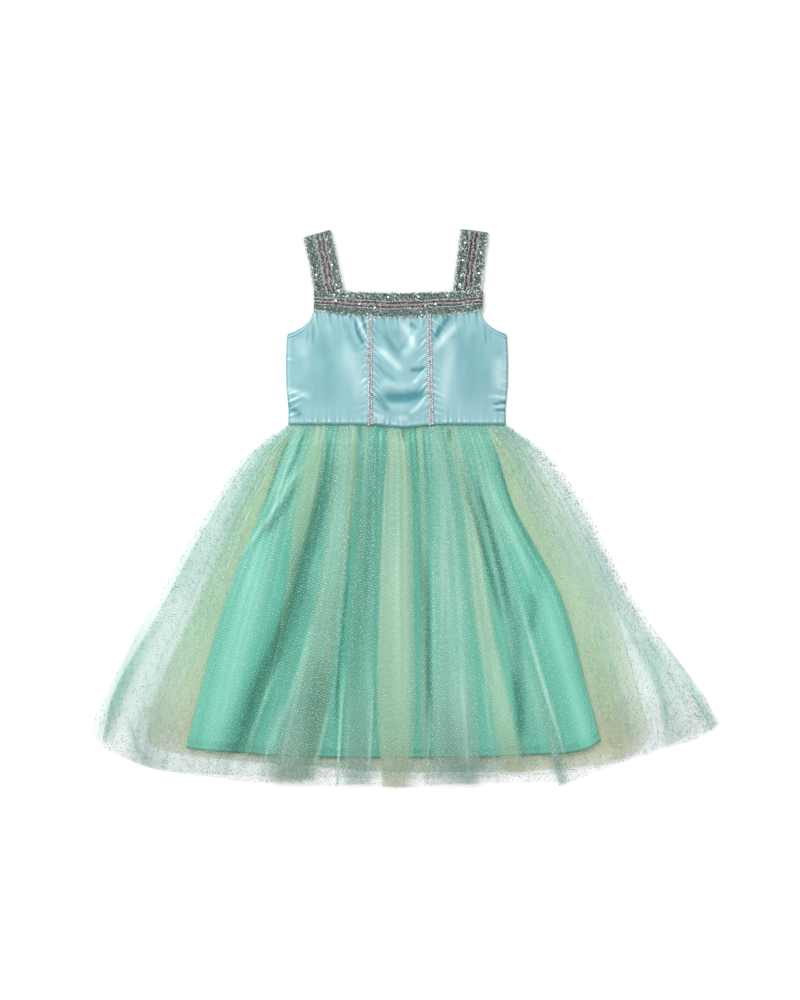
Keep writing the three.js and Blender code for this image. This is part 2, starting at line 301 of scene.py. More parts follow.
def gridFaces(rows, columns):
    index = np.arange(rows * columns).reshape(rows, columns)
    corners = [index[:-1, :-1], index[1:, :-1], index[1:, 1:], index[:-1, 1:]]
    return np.stack(corners, -1).reshape(-1, 4)


def softened(values, passes):
    for axis in (0, 1) * passes:
        first, last = np.take(values, [0], axis), np.take(values, [-1], axis)
        wide = np.concatenate([first, values, last], axis)
        count = values.shape[axis]
        sides = np.take(wide, range(count), axis) + np.take(wide, range(2, count + 2), axis)
        values = (sides + 2 * values) / 4
    return values


def reliefOf(grid, passes, depth):
    # from -1 in a hollow to 1 on a ridge, against the soft shape round it
    return np.clip((grid[..., 2] - softened(grid[..., 2], passes)) / depth, -1, 1)


def makePiece(name, points, faces, finishes, nodes=(), cloth=None, values=None, finishOf=None,
              smooth=True):
    # points and cloth are in mm; finishOf says which of the finishes each face has
    data = bpy.data.meshes.new(name)
    data.from_pydata(toFrame(points).tolist(), [], np.asarray(faces).tolist())
    for finish in finishes:
        data.materials.append(finish)
    if finishOf is not None:
        data.polygons.foreach_set("material_index", np.asarray(finishOf, np.int32))
    if cloth is not None:
        corners = np.empty(len(data.loops), np.int32)
        data.loops.foreach_get("vertex_index", corners)
        flat = np.asarray(cloth).reshape(-1, 2)[corners] * mm
        data.uv_layers.new(name="cloth").uv.foreach_set("vector", flat.astype(np.float32).ravel())
    for key, value in (values or {}).items():
        attribute = data.attributes.new(key, "FLOAT", "POINT")
        attribute.data.foreach_set("value", np.asarray(value, np.float32).ravel())
    if smooth:
        data.shade_smooth()
    data.update()
    piece = bpy.data.objects.new(name + "_cloth" if nodes else name, data)
    bpy.context.scene.collection.objects.link(piece)
    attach(piece, "root")
    if nodes:
        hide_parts(*nodes)
    return piece


def thicken(piece, thickness):
    solid = piece.modifiers.new("cloth", "SOLIDIFY")
    solid.thickness = thickness * mm
    solid.offset = -1


def throughStops(values, spots):
    # values stand at the whole numbers along the last axis; the curve is flat wherever they turn back
    step = np.diff(values, axis=-1)
    before, after = step[..., :-1], step[..., 1:]
    total = np.where(before * after > 0, before + after, 1)
    inner = np.where(before * after > 0, 2 * before * after / total, 0)
    slope = np.concatenate([step[..., :1], inner, step[..., -1:]], -1)
    left = np.clip(np.floor(spots).astype(int), 0, values.shape[-1] - 2)
    t = spots - left
    return (
        (2 * t ** 3 - 3 * t ** 2 + 1) * values[..., left]
        + (t ** 3 - 2 * t ** 2 + t) * slope[..., left]
        + (3 * t ** 2 - 2 * t ** 3) * values[..., left + 1]
        + (t ** 3 - t ** 2) * slope[..., left + 1]
    )


def toned(x, y, tones):
    # each tone: half width, strength and a line of points; it fades sideways and at both ends
    total = np.zeros(np.broadcast(x, y).shape)
    for width, strength, line in tones:
        spots = np.array(line, float)
        parts = np.hypot(*np.diff(spots, axis=0).T)
        nearest, along, before = np.full(total.shape, np.inf), np.zeros(total.shape), 0
        for (ax, ay), (bx, by), long in zip(spots[:-1], spots[1:], parts):
            t = np.clip(((x - ax) * (bx - ax) + (y - ay) * (by - ay)) / long ** 2, 0, 1)
            away = np.hypot(x - ax - t * (bx - ax), y - ay - t * (by - ay))
            along = np.where(away < nearest, (before + t * long) / parts.sum(), along)
            nearest = np.minimum(nearest, away)
            before += long
        total += strength * ramp(0, 0.3, along) * ramp(1, 0.7, along) * np.exp(-((nearest / width) ** 2))
    return total


class Pile:
    # how high the cloth that is already laid stands, on a grid of squares
    step, left, low, count = 5, -480, -520, 200

    def __init__(self):
        self.height = np.zeros((self.count, self.count))
        self.soft = self.height

    def add(self, grid):
        halfway = (grid[1:] + grid[:-1]) / 2
        points = np.concatenate([grid.reshape(-1, 3), halfway.reshape(-1, 3)])
        column = np.rint((points[:, 0] - self.left) / self.step).astype(int)
        row = np.rint((points[:, 1] - self.low) / self.step).astype(int)
        np.maximum.at(self.height, (row, column), points[:, 2])
        soft = self.height
        for axis in (0, 1):
            soft = np.maximum(soft, np.maximum(np.roll(soft, 1, axis), np.roll(soft, -1, axis)))
        for axis in (0, 1, 0, 1):
            soft = (np.roll(soft, 1, axis) + np.roll(soft, -1, axis) + 2 * soft) / 4
        self.soft = np.maximum(soft, self.height)

    def at(self, x, y):
        column, row = (x - self.left) / self.step, (y - self.low) / self.step
        c, r = np.floor(column).astype(int), np.floor(row).astype(int)
        s, t = column - c, row - r
        upper = mix(self.soft[r + 1, c], self.soft[r + 1, c + 1], s)
        return mix(mix(self.soft[r, c], self.soft[r, c + 1], s), upper, t)


pile = Pile()


# the bodice's outline, shared by its panels, trims and the skirt under it

bodice = {
    "rows": 150, "columns": 120, "centreColumns": 90, "backRows": 70, "thick": 0.45, "lowestFront": 1.45,
    "neck": 180, "neckHalf": 114, "neckDip": 4, "waistDip": 4, "dipAt": 9, "dipReach": 30,
    "seamUp": (-4, 20, 50, 80, 112, 119, 122.5, 128.5, 137, 145, 152, 185),
    "seamHalf": (148, 147.5, 150.5, 151, 150, 149, 140.5, 129.5, 120.5, 116, 113.5, 112),
    "bandHeight": 26.5, "bandSag": 5.5, "fill": 3.6, "lowest": 1.5,
}


def neckline(x):
    return bodice["neck"] - bodice["neckDip"] * (1 - (x / bodice["neckHalf"]) ** 2)


def waistline(x):
    return -bodice["waistDip"] * np.exp(-(((x - bodice["dipAt"]) / bodice["dipReach"]) ** 2))


def princessX(side, y):
    waist, neck = {"left": (-36, -37.5), "right": (46.5, 42.5)}[side]
    return mix(waist, neck, y / bodice["neck"])


def seamHalf(y):
    return np.interp(y, bodice["seamUp"], bodice["seamHalf"])


def frontUnder(x, y):
    across = 1 - np.minimum(1, np.abs(x) / 150) ** 3
    return bodice["lowest"] + bodice["fill"] * across * mix(1, 0.45, ramp(0, 180, y))


# the skirt: six sheets on one another, caught in the waist seam

skirtRows = 88
levelDown = (0, 40, 105, 240, 376)  # the heights at which the outlines are given, and then the hem

# Where each layer is caught between the bodice's back, 0, and its front, 1
seamShares = {"glitter_tulle_back": 0.0, "lime_tulle_back": 0.14, "satin_skirt_back": 0.28,
              "satin_skirt_front": 0.5, "lime_tulle_front": 0.72, "glitter_tulle_front": 0.95}

# Gathers and folds of the cut cloth: wave length in mm, phase and share
gathers = ((17.3, 0.4, 1.0), (11.9, 2.1, 0.7), (27.7, 4.0, 0.8), (47.0, 1.2, 0.5))
folds = ((58.0, 0.9, 1.0), (91.0, 3.3, 1.0), (37.0, 5.1, 0.5))

# Painted shade along dark valleys and painted highlight along bright ridges that run through all the front
# layers; they also lower and raise the cloth a little: half width, strength, line
skirtShading = (
    (4.5, -1.0, ((-140, 5), (-146, -16), (-155, -34), (-164, -59), (-171, -80), (-180, -105),
     (-192, -130))),
    (6, 0.7, ((-128, 5), (-137, -25), (-144, -46), (-150, -64), (-157, -84), (-173, -115))),
    (3.5, -1.0, ((-120, 4), (-130, -25), (-135, -43), (-146, -66), (-156, -84))),
    (6, -0.8, ((-128, -66), (-137, -82), (-146, -100), (-155, -120), (-173, -143), (-190, -165))),
    (15, -1.3, ((-84, 20), (-93, -77), (-105, -118), (-116, -159), (-128, -193), (-135, -227), (-149, -267),
     (-168, -322), (-184, -362), (-197, -400), (-210, -437), (-228, -490), (-250, -560))),
    (13, -0.55, ((-150, -270), (-190, -350), (-224, -420), (-244, -480), (-262, -540))),
    (13, -0.45, ((-40, -10), (-40, -104), (-45, -186), (-54, -254), (-62, -322), (-67, -389), (-71, -444))),
    (2.2, -0.9, ((-62, -179), (-70, -240), (-75, -294), (-81, -362), (-82, -430))),
    (3, -1.0, ((7, -2), (10, -28))), (3, -1.0, ((70, -2), (73, -28))), (2.5, -0.8, ((-50, -4), (-47, -30))),
    (4.5, -0.9, ((33, -145), (37, -186), (40, -240), (41, -308), (44, -376), (44, -430))),
    (4.5, -1.1, ((84, -30), (98, -100), (109, -138), (119, -175), (128, -211), (138, -250), (146, -290))),
    (4.5, -1.1, ((102, -50), (114, -104), (123, -134), (132, -166), (141, -202), (148, -236), (158, -290))),
    (4, -0.7, ((128, -20), (137, -52), (150, -93), (162, -129), (182, -166), (200, -200))),
    (7, -0.7, ((177, -220), (185, -247), (180, -294))), (6, -0.8, ((157, -328), (165, -376), (169, -437))),
    (14, -0.7, ((-97, -294), (-105, -349), (-113, -417), (-120, -480), (-126, -540))),
    (8, -0.6, ((160, -200), (162, -280), (166, -350), (169, -420), (172, -500))),
    (2.2, 0.45, ((-115, -45), (-146, -80), (-169, -120), (-184, -142), (-205, -172), (-216, -190))),
    (19, 0.65, ((-176, -130), (-197, -227), (-214, -294), (-232, -362), (-248, -430), (-262, -500))),
    (5.5, 0.8, ((118, -50), (125, -77), (137, -109), (148, -136), (164, -170), (175, -193), (190, -225))),
    (10, 0.9, ((186, -190), (203, -247), (216, -294), (232, -349), (247, -396), (258, -440), (270, -500))),
    (11, 0.5, ((-7, -104), (-3, -186), (-1, -267), (3, -376), (6, -444))),
    (13, 0.45, ((58, -118), (67, -213), (77, -308), (85, -403), (90, -478))),
    (4, 0.8, ((-108, -240), (-126, -315), (-146, -376), (-164, -417), (-180, -484))),
    (3, 0.8, ((158, -213), (172, -261), (189, -322), (207, -383), (225, -441))),
    (2.2, 0.8, ((-150, -308), (-180, -376), (-210, -453))),
    (8, 0.6, ((126, -294), (139, -362), (151, -430))), (2, 0.8, ((-70, -308), (-74, -376), (-81, -491))),
    (5, 0.5, ((-37, -294), (-36, -403), (-36, -487))), (3, 0.8, ((-90, -376), (-115, -484))),
    (36, -0.4, ((-118, -180), (-128, -300), (-122, -460))),
)

# Where the nets carry a painted shadow of the satin's hem, are thin, or are doubled up in folds
hemShade = (
    (9, -0.9, ((-330, -436), (-290, -446), (-200, -458), (-100, -464), (0, -466), (130, -465), (230, -453),
     (300, -440))),
)
wingFolds = (
    (9, 2.6, ((-325, -215), (-340, -250), (-356, -294), (-380, -362), (-404, -425), (-420, -470))),
    (26, 1.0, ((-330, -240), (-372, -322), (-400, -390), (-418, -440))),
    (3, 2.0, ((-367, -390), (-353, -437), (-328, -470))),
    (30, 0.7, ((-270, -120), (-322, -240), (-350, -330), (-380, -440))),
    (5, 2.8, ((340, -250), (381, -322), (405, -366), (430, -409), (455, -455))),
    (24, 1.1, ((-128, -330), (-140, -400), (-148, -450), (-152, -560))),
    (15, 1.0, ((-52, -330), (-57, -420), (-58, -560))),
    (26, 1.2, ((66, -300), (80, -379), (97, -470), (104, -560))),
    (7, 2.4, ((150, -260), (176, -340), (200, -410), (221, -480), (230, -540))),
    (3.5, 2.2, ((325, -280), (350, -335), (362, -380), (368, -450))),
    (24, 1.1, ((-175, 20), (-225, -60), (-262, -130), (-290, -190), (-320, -260))),
)
pleatEdges = (
    (2.2, 2.6, ((-150, -360), (-164, -400), (-176, -445), (-188, -510))),
    (2, 2.2, ((-170, -340), (-190, -400), (-212, -460), (-230, -510))),
    (2, 2.4, ((-80, -330), (-96, -400), (-112, -470), (-120, -510))),
    (2, 2.6, ((-66, -300), (-74, -376), (-80, -470), (-84, -520))),
    (2, 2.0, ((-30, -330), (-34, -400), (-38, -470), (-40, -520))),
    (2, 2.2, ((110, -330), (124, -400), (134, -470), (140, -520))),
    (2.2, 2.4, ((172, -261), (189, -322), (207, -383), (225, -441), (240, -500))),
    (2, 2.2, ((44, -350), (42, -420), (40, -480), (40, -520))),
    (2, 2.0, ((84, -320), (92, -400), (96, -470), (98, -520))),
    (2, 1.6, ((-118, -300), (-136, -370), (-150, -430), (-160, -490))),
    (2.2, 2.0, ((148, -126), (166, -170), (182, -215), (200, -270))),
    (2.5, 2.2, ((-112, -40), (-146, -80), (-169, -120), (-184, -142), (-205, -172), (-216, -190))),
)
thinPlaces = (
    (24, -0.85, ((130, 60), (200, -40), (245, -100), (287, -165), (320, -235), (350, -330))),
    (30, -0.4, ((230, -190), (290, -290), (320, -350), (340, -440))),
    (26, -0.5, ((-300, -478), (-100, -488), (60, -490), (250, -470))),
    (30, -0.8, ((120, -470), (230, -462), (320, -445), (400, -440))),
    (12, -0.5, ((385, -370), (410, -400), (440, -440))),
)


def waves(cloth, table):
    return sum(share * np.cos(2 * np.pi * cloth / length + phase) for length, phase, share in table)


def creep(cloth, table):
    # how far the cloth moves along its row, so that it stands in the table's waves
    return sum(share * length / 6.28 * np.sin(2 * np.pi * cloth / length + phase)
               for length, phase, share in table)


def layOut(stops, pitch, fewest=4):
    # columns are shared out by the cloth between the stops, and each keeps its own fall line
    waist, high, mid, low, hem, drop, lift = np.array(stops, float).T
    start = waist + (high - waist) * (0.41 + 0.13 * (high / 250) ** 2)
    x = np.stack([waist, start, high, mid, low, hem], -1)
    y = -np.stack([np.full_like(waist, down) for down in levelDown] + [drop], -1)
    along = np.linspace(0, len(levelDown), skirtRows)
    x, y = throughStops(x, along).T, throughStops(y, along).T
    counts = np.maximum(fewest, np.rint(np.abs(np.diff(hem)) / pitch)).astype(int)
    spots = np.concatenate([k + np.arange(n) / n for k, n in enumerate(counts)] + [[len(hem) - 1]])
    x, y = throughStops(x, spots), throughStops(y, spots)
    cloth = np.concatenate([[0], np.cumsum(np.abs(np.diff(x, axis=1)).max(0))])
    steps = np.diff(hem)
    turns = [cloth[counts[:k].sum()] for k in range(1, len(hem) - 1) if steps[k - 1] * steps[k] < 0]
    return x, y, cloth, throughStops(lift, spots), turns


def bunch(grid, cloth, shift):
    # the cloth creeps along its own row into bunches
    return np.stack([np.interp(cloth + s, cloth, row) for s, row in zip(shift, grid)])


def pastSatin(x, y):
    # how far outside the satin's outline, in mm
    levels = (0, 105, 240, 376, 439)
    left, right = (np.interp(-y, levels, satinStops["satin_skirt_front"][k][:5]) for k in (0, -1))
    return np.maximum(left - x, x - right)


# How a layer is laid, which each layer's own dictionary changes in part
plainLayer = {
    # mm of a column, and how far the cloth creeps
    "pitch": 2.8, "bunching": 0.5, "streaks": 0.05, "broad": 0.1,
    # heights in mm, the last two above what is beneath
    "gather": 0.5, "fold": 0.4, "clear": 0.4, "least": 0.35,
    "dips": 0, "shaped": 0,  # whether it follows the waist's dip, and how far the tones raise it
    # how much net lies at a point, near pleats and side edges
    "full": 1.0, "most": 3, "softTurn": 1, "faint": 60,
    "depth": 3, "valleys": 0.4, "toned": 1, "tones": (),  # how strongly the painted shade and highlight of hollows, ridges and shading lines show
    "doubled": 0, "edges": 0, "folded": 0,  # for the glitter nets
}


def clothHeight(name, x, y, cloth, lift, settings, creases, tones, spread):
    down = -y
    tall = settings["gather"] * ramp(0, 14, down) * np.exp(-down / (45 + 25 * spread))
    soft = settings["fold"] * ramp(20, 150, down)
    height = tall * (waves(cloth, gathers) + 1.2) + soft * (waves(cloth, folds) + 1.4)
    rise = ramp(0, 55, down) * (1 - 0.45 * ramp(200, 480, down))
    laid = pile.at(x, y)
    z = laid + settings["clear"] + lift * rise + height + toned(x, y, creases) + settings["shaped"] * tones
    seam = 0.25 + seamShares[name] * (frontUnder(np.clip(x, -148, 148), 0) - 0.5)
    return np.maximum(mix(seam, np.maximum(z, laid + settings["least"]), ramp(0, 26, down)), 0.2)


def clothDensity(x, z, cloth, shift, turns, settings):
    # how many plies lie over one another; a pleat's own turn and the sheet's side edges are thinner
    acrossNow = np.hypot(np.gradient(x, axis=1), 0.25 * np.gradient(z, axis=1))
    density = np.gradient(cloth)[None, :] / np.maximum(acrossNow, 0.05)
    density = np.clip(density * settings["full"], 0.45, settings["most"])
    for turn in turns:
        density = density * (1 - 0.85 * np.exp(-(((cloth + shift - turn) / settings["softTurn"]) ** 2)))
    fromEdge = np.minimum(cloth, cloth[-1] - cloth)
    return density * mix(0.3, 1, ramp(0, settings["faint"], fromEdge))


def foldedDensity(density, x, y, tones, settings):
    # the glitter nets: denser in the wings, in valleys and where they are folded over
    wings = ramp(0, 30, pastSatin(x, y))
    density = density ** settings["doubled"] * (1 + 0.3 * wings) * (1 + toned(x, y, thinPlaces))
    density = density * np.clip(1 + 0.4 * tones, 0.5, 1.3)
    edges = 0.8 * toned(x, y, pleatEdges) * settings["edges"]
    density = np.maximum(density + settings["folded"] * toned(x, y, wingFolds) + edges, 0.1)
    # the shading it returns is darker in the wings, a painted shade, and paler along the pleat edges, a
    # painted highlight
    return density, tones - 0.12 * wings + 0.2 * edges


def draped(name, stops, changes, creases=()):
    settings = {**plainLayer, **changes}
    x, y, cloth, lift, turns = layOut(stops, settings["pitch"])
    down = -y
    gathering = settings["bunching"] * np.exp(-down / 120) + settings["streaks"]
    shift = gathering * creep(cloth, gathers) + settings["broad"] * creep(cloth, folds) * ramp(0, 120, down)
    x = bunch(x, cloth, shift)
    lift = bunch(np.broadcast_to(lift, x.shape), cloth, shift)
    spread = 0.7 + 0.3 * np.cos(cloth / 23) + 0.25 * np.cos(cloth / 61 + 2)
    tones = toned(x, y, settings["tones"]) * settings["toned"]
    z = clothHeight(name, x, y, cloth, lift, settings, creases, tones, spread)
    y = y + mix(waistline(x), 0, ramp(0, 30, down)) * settings["dips"]
    grid = np.stack([x, y, z], -1)
    density = clothDensity(x, z, cloth, shift, turns, settings)
    if settings["doubled"]:
        density, tones = foldedDensity(density, x, y, tones, settings)
    pile.add(grid)
    flat = np.stack([np.broadcast_to(cloth, x.shape), down], -1)
    # painted shade in the gathers' valleys near the waist, and painted shade and highlight from the hollows,
    # ridges and shading lines
    fading = ramp(0, 8, down) * np.exp(-down / (30 + 40 * spread))
    valley = np.clip(0.5 - waves(cloth, gathers) / 1.6, 0, 1) * fading
    paintedShading = reliefOf(grid, 5, settings["depth"]) - settings["valleys"] * valley + tones
    return grid, {"gathered": density, "paintedShading": np.clip(paintedShading, -1, 1)}, flat


def layRows(name, made, finish):
    grid, values, flat = made
    return makePiece(name, grid, gridFaces(*grid.shape[:2]), [finish], [name], flat, values)


print("tables ready")


# satin underskirt

satinStops = {
    "satin_skirt_back": (
        (-127, -172, -229, -266, -282, 436, 0), (-70, -92, -122, -141, -150, 449, 0),
        (0, 0, 0, 0, 0, 452, 0), (56, 72, 105, 126, 135, 449, 0), (110, 144, 212, 253, 270, 430, 0)),
    "satin_skirt_front": (
        (-135, -179, -233, -270, -286, 439, 0), (-133, -176, -229.5, -266.5, -282, 440, 0.8),
        (-121, -160, -207, -240, -252, 443, 2.5), (-108, -140, -176, -203, -212, 446, 4.5),
        (-86, -104, -128, -148, -156, 450, 3), (-56, -66, -80, -94, -100, 452, 2.5),
        (-20, -24, -26, -28, -28, 453, 3), (14, 20, 24, 28, 30, 453, 2.5),
        (50, 62, 78, 92, 98, 452, 2.5), (84, 104, 138, 162, 172, 449, 3),
        (100, 130, 185, 218, 232, 446, 5), (114, 149, 213, 248, 263, 438, 3),
        (117, 154, 222, 259, 273.5, 432, 0.8), (118, 156, 225, 262, 277, 430, 0)),
}

# Deep valleys and soft ridges of the satin
satinCreases = (
    (9, -5.0, ((-84, 60), (-92, -5), (-93, -77), (-105, -118), (-116, -159), (-128, -193), (-135, -227),
     (-149, -267), (-168, -322), (-184, -362), (-197, -400), (-214, -450), (-240, -560))),
    (8, -4.2, ((98, 30), (106, -60), (114, -104), (123, -134), (132, -166), (141, -202), (148, -236),
     (158, -290), (166, -340), (176, -390), (188, -445), (205, -540))),
    (7, -4.0, ((30, -60), (36, -145), (40, -240), (41, -308), (44, -376), (46, -520))),
    (17, 3.0, ((-170, -120), (-190, -280), (-220, -480))), (13, 2.6, ((-140, -190), (-190, -420))),
    (9, 3.4, ((145, -110), (200, -230))), (13, 4.0, ((190, -190), (216, -260), (240, -350))),
    (12, 3.0, ((228, -300), (266, -470))), (12, 2.4, ((-60, -60), (-76, -420))),
    (10, 2.2, ((-22, -60), (-30, -420))), (13, 2.4, ((70, -80), (104, -430))),
    (9, -2.6, ((-88, -300), (-118, -500))), (9, -2.2, ((4, -200), (6, -500))),
)

satinSkirt = {
    "flat": (0.66, 0.455), "colours": ((0.04, 0.24, 0.17, 1), (0.07, 0.44, 0.32, 1), (0.24, 0.68, 0.54, 1)),
    "hem": 9, "hemDeep": 0.5,  # the hem's stitched line, in mm from the edge
    "layer": {"pitch": 2.6, "bunching": 0.25, "streaks": 0.03, "broad": 0.05, "gather": 0.6, "fold": 0.3,
              "clear": 0.5, "depth": 2.2, "valleys": 0.5, "toned": 0.85, "shaped": 1.0},
    # the shown satin adds one broad line of painted shade down the middle of the front, which also lowers the
    # satin a little
    "shown": {"dips": 1, "tones": skirtShading + ((75, -0.6, ((0, 150), (0, -220), (0, -600))),)},
}


def makeSatinSkirt():
    finish = satin("skirt satin", satinSkirt["colours"], 0.4, 0.2)
    hidden = satinSkirt["layer"]
    shown = {**hidden, **satinSkirt["shown"]}
    for name, cut, changes, creases in (("satin_skirt_back", 0.24, hidden, ()),
                                        ("satin_skirt_front", 0.26, shown, satinCreases)):
        made = draped(name, satinStops[name], changes, creases)
        grid, values, flat = made
        fromHem = flat[-1, :, 1] - flat[..., 1]
        fromStitches = fromHem - satinSkirt["hem"]
        grid[..., 2] -= satinSkirt["hemDeep"] * np.exp(-((fromStitches / 1.6) ** 2))
        # painted shade along the stitched line's groove and along the hem's edge
        values["paintedShading"] -= 0.5 * np.exp(-((fromStitches / 3) ** 2)) + 0.7 * np.exp(-((fromHem / 3) ** 2))
        piece = layRows(name, made, finish)
        thicken(piece, 0.3)
        print(name, "laid")


# lime net: a full layer under the satin, and gathered panels over it

limeBackStops = (
    (-137, -212, -271, -335, -351, 405, 0.5), (-136, -209, -267, -329, -342, 428, 2.0),
    (-133, -200, -256, -308, -326, 439, 2.5), (-127, -180, -232, -272, -285, 448, 1.5),
    (-110, -140, -178, -208, -220, 456, 0.8), (-60, -72, -92, -110, -116, 464, 0.6),
    (0, 2, 6, 8, 8, 472, 0.6), (60, 78, 100, 120, 130, 472, 0.8),
    (104, 138, 190, 226, 240, 466, 1.0), (114, 160, 236, 278, 292, 458, 2.0),
    (122, 190, 266, 304, 318, 448, 2.6), (129, 214, 284, 324, 336, 432, 2.2),
    (132, 221, 291, 331, 342, 412, 0.5),
)

# Each panel: its left edge and its right edge at the waist, 40, 105, 240 and 376 mm down, hem and drop;
# then how dense the net is at those heights, and how soft its two edges are
limePanels = (
    (((-116, -126, -142, -153, -182, -212, 466), (-92, -97, -107, -143, -175, -206, 466)),
     (2.6, 2.3, 1.8, 1.0, 0.8, 0.6), 0.3, 0.3),
    (((-80, -84, -92, -112, -147, -174, 482), (-53, -53, -56, -75, -92, -108, 482)),
     (3.2, 3.0, 2.6, 2.2, 1.6, 1.0), 0.3, 0.25),
    (((-48, -48, -52, -62, -70, -72, 470), (-40, -40, -43, -52, -62, -64, 470)),
     (0.9, 0.8, 0.7, 0.5, 0.4, 0.4), 0.4, 0.4),
    (((-13, -14, -20, -25, -28, -21, 492), (8, 17, 22, 24, 26, 20, 492)), (3.4, 3.2, 3.0, 2.8, 2.4, 1.8),
     0.12, 0.35),
    (((25, 27, 29, 32, 31, 34, 482), (36, 37, 40, 42, 41, 44, 482)), (1.8, 1.5, 1.2, 0.9, 0.8, 0.7), 0.4,
     0.4),
    (((52, 55, 57, 58, 52, 54, 478), (59, 66, 70, 65, 63, 64, 478)), (1.8, 1.6, 1.4, 1.1, 0.9, 0.8), 0.4,
     0.4),
    (((63, 71, 86, 99, 122, 140, 472), (82, 90, 107, 126, 155, 177, 472)), (2.6, 2.5, 2.4, 2.3, 2.0, 1.3),
     0.3, 0.3),
)


limeNet = {
    # the hem colours are a painted shade that the net takes towards its hem
    "under": {"colours": ((0.19, 0.36, 0.22, 1), (0.47, 0.66, 0.39, 1), (0.68, 0.84, 0.54, 1)),
              "hem": (0.5, 0.5, 0.28, 1), "hemDown": (0.3, 0.44)},
    "over": {"colours": ((0.19, 0.38, 0.25, 1), (0.5, 0.73, 0.5, 1), (0.68, 0.88, 0.66, 1)),
             "hem": (0.5, 0.52, 0.34, 1), "hemDown": (0.42, 0.48)},
    "ply": 0.34,
    "layer": {"full": 1.85, "most": 4, "tones": hemShade},
    "roll": ((0.5, 0.0), (0.0, 1.2), (0.25, 2.6), (0.6, 3.4), (0.85, 2.6), (1.0, 1.2), (0.5, 0.1)),
    "columns": 34,
}


def limeFinish(name, which):
    look = limeNet[which]
    return tulle(name, look["colours"], limeNet["ply"], look["hem"], look["hemDown"])


def limePanel(edges, amounts, softLeft, softRight):
    # a flattened roll of net: under, round the left edge, over, round the right edge and under again
    left, right = np.array(edges, float)
    shares, heights = np.array(limeNet["roll"]).T
    lines = np.stack([mix(left, right, share) for share in shares])
    along = np.linspace(0, len(levelDown), skirtRows)
    y = -np.stack([np.full(len(shares), float(down)) for down in levelDown] + [lines[:, -1]], -1)
    x, y = throughStops(lines[:, :-1], along).T, throughStops(y, along).T
    amount = np.interp(along, np.arange(len(amounts)), amounts)[:, None]
    spots = np.linspace(0, len(shares) - 1, limeNet["columns"])
    x, y = throughStops(x, spots), throughStops(y, spots)
    share, rise = throughStops(shares, spots), throughStops(heights, spots)
    down = -y
    z = pile.at(x, y) + 0.6 + rise * ramp(0, 50, down) * (1 - 0.4 * ramp(250, 480, down))
    z = z + 0.5 * np.cos(x / 2.1 + 3 * np.sin(down / 90)) * ramp(0, 20, down) * np.exp(-down / 90)
    seam = 0.25 + seamShares["lime_tulle_front"] * (frontUnder(x, 0) - 0.5)
    tones = 0.6 * toned(x, y, skirtShading)
    z = mix(seam, z + tones, ramp(0, 26, down))
    y = y + mix(waistline(x), 0, ramp(0, 30, down))
    step = np.abs(np.gradient(x, axis=1))
    bend = 1 / np.maximum(step / step.mean(1, keepdims=True), 0.3)
    fade = mix(0.1, 1, ramp(0, softLeft, share) * ramp(1, 1 - softRight, share))
    density = 0.55 * np.clip(bend, 0.7, 1.9) * amount * fade
    density = density * (1 + 0.25 * np.cos(spots * 7) * np.exp(-down / 200))
    grid = np.stack([x, y, z], -1)
    # painted shade and highlight: light and dark streaks that fade down from the waist, the hollows and
    # ridges, and the skirt's shading lines
    streak = 0.3 * np.cos(spots * 5.3 + down / 140) * np.exp(-down / 160)
    paintedShading = np.clip(0.5 * reliefOf(grid, 4, 1.6) + streak + tones, -1, 1)
    flat = np.stack([np.broadcast_to(spots * 9, x.shape), down], -1)
    return grid, {"gathered": density, "paintedShading": paintedShading}, flat


def makeLimeBack():
    name = "lime_tulle_back"
    grid, values, flat = draped(name, limeBackStops, limeNet["layer"])
    values["gathered"] = values["gathered"] * mix(0.55, 1, ramp(0, 30, flat[-1, :, 1] - flat[..., 1]))
    finish = limeFinish("lime net under the satin", "under")
    piece = layRows(name, (grid, values, flat), finish)
    print(name, "laid")


def makeLimeFront():
    name = "lime_tulle_front"
    grids, values, flats = zip(*[limePanel(*panel) for panel in limePanels])
    for grid in grids:
        pile.add(grid)
    rows, columns = grids[0].shape[:2]
    faces = np.concatenate([gridFaces(rows, columns) + k * rows * columns for k in range(len(grids))])
    joined = {key: np.concatenate([part[key].ravel() for part in values]) for key in values[0]}
    finish = limeFinish("lime net", "over")
    piece = makePiece(name, np.concatenate(grids), faces, [finish], [name],
                      np.concatenate(flats), joined)
    print(name, "laid")


# glitter net: the outer layer, with pleats of three plies, and the layer under everything

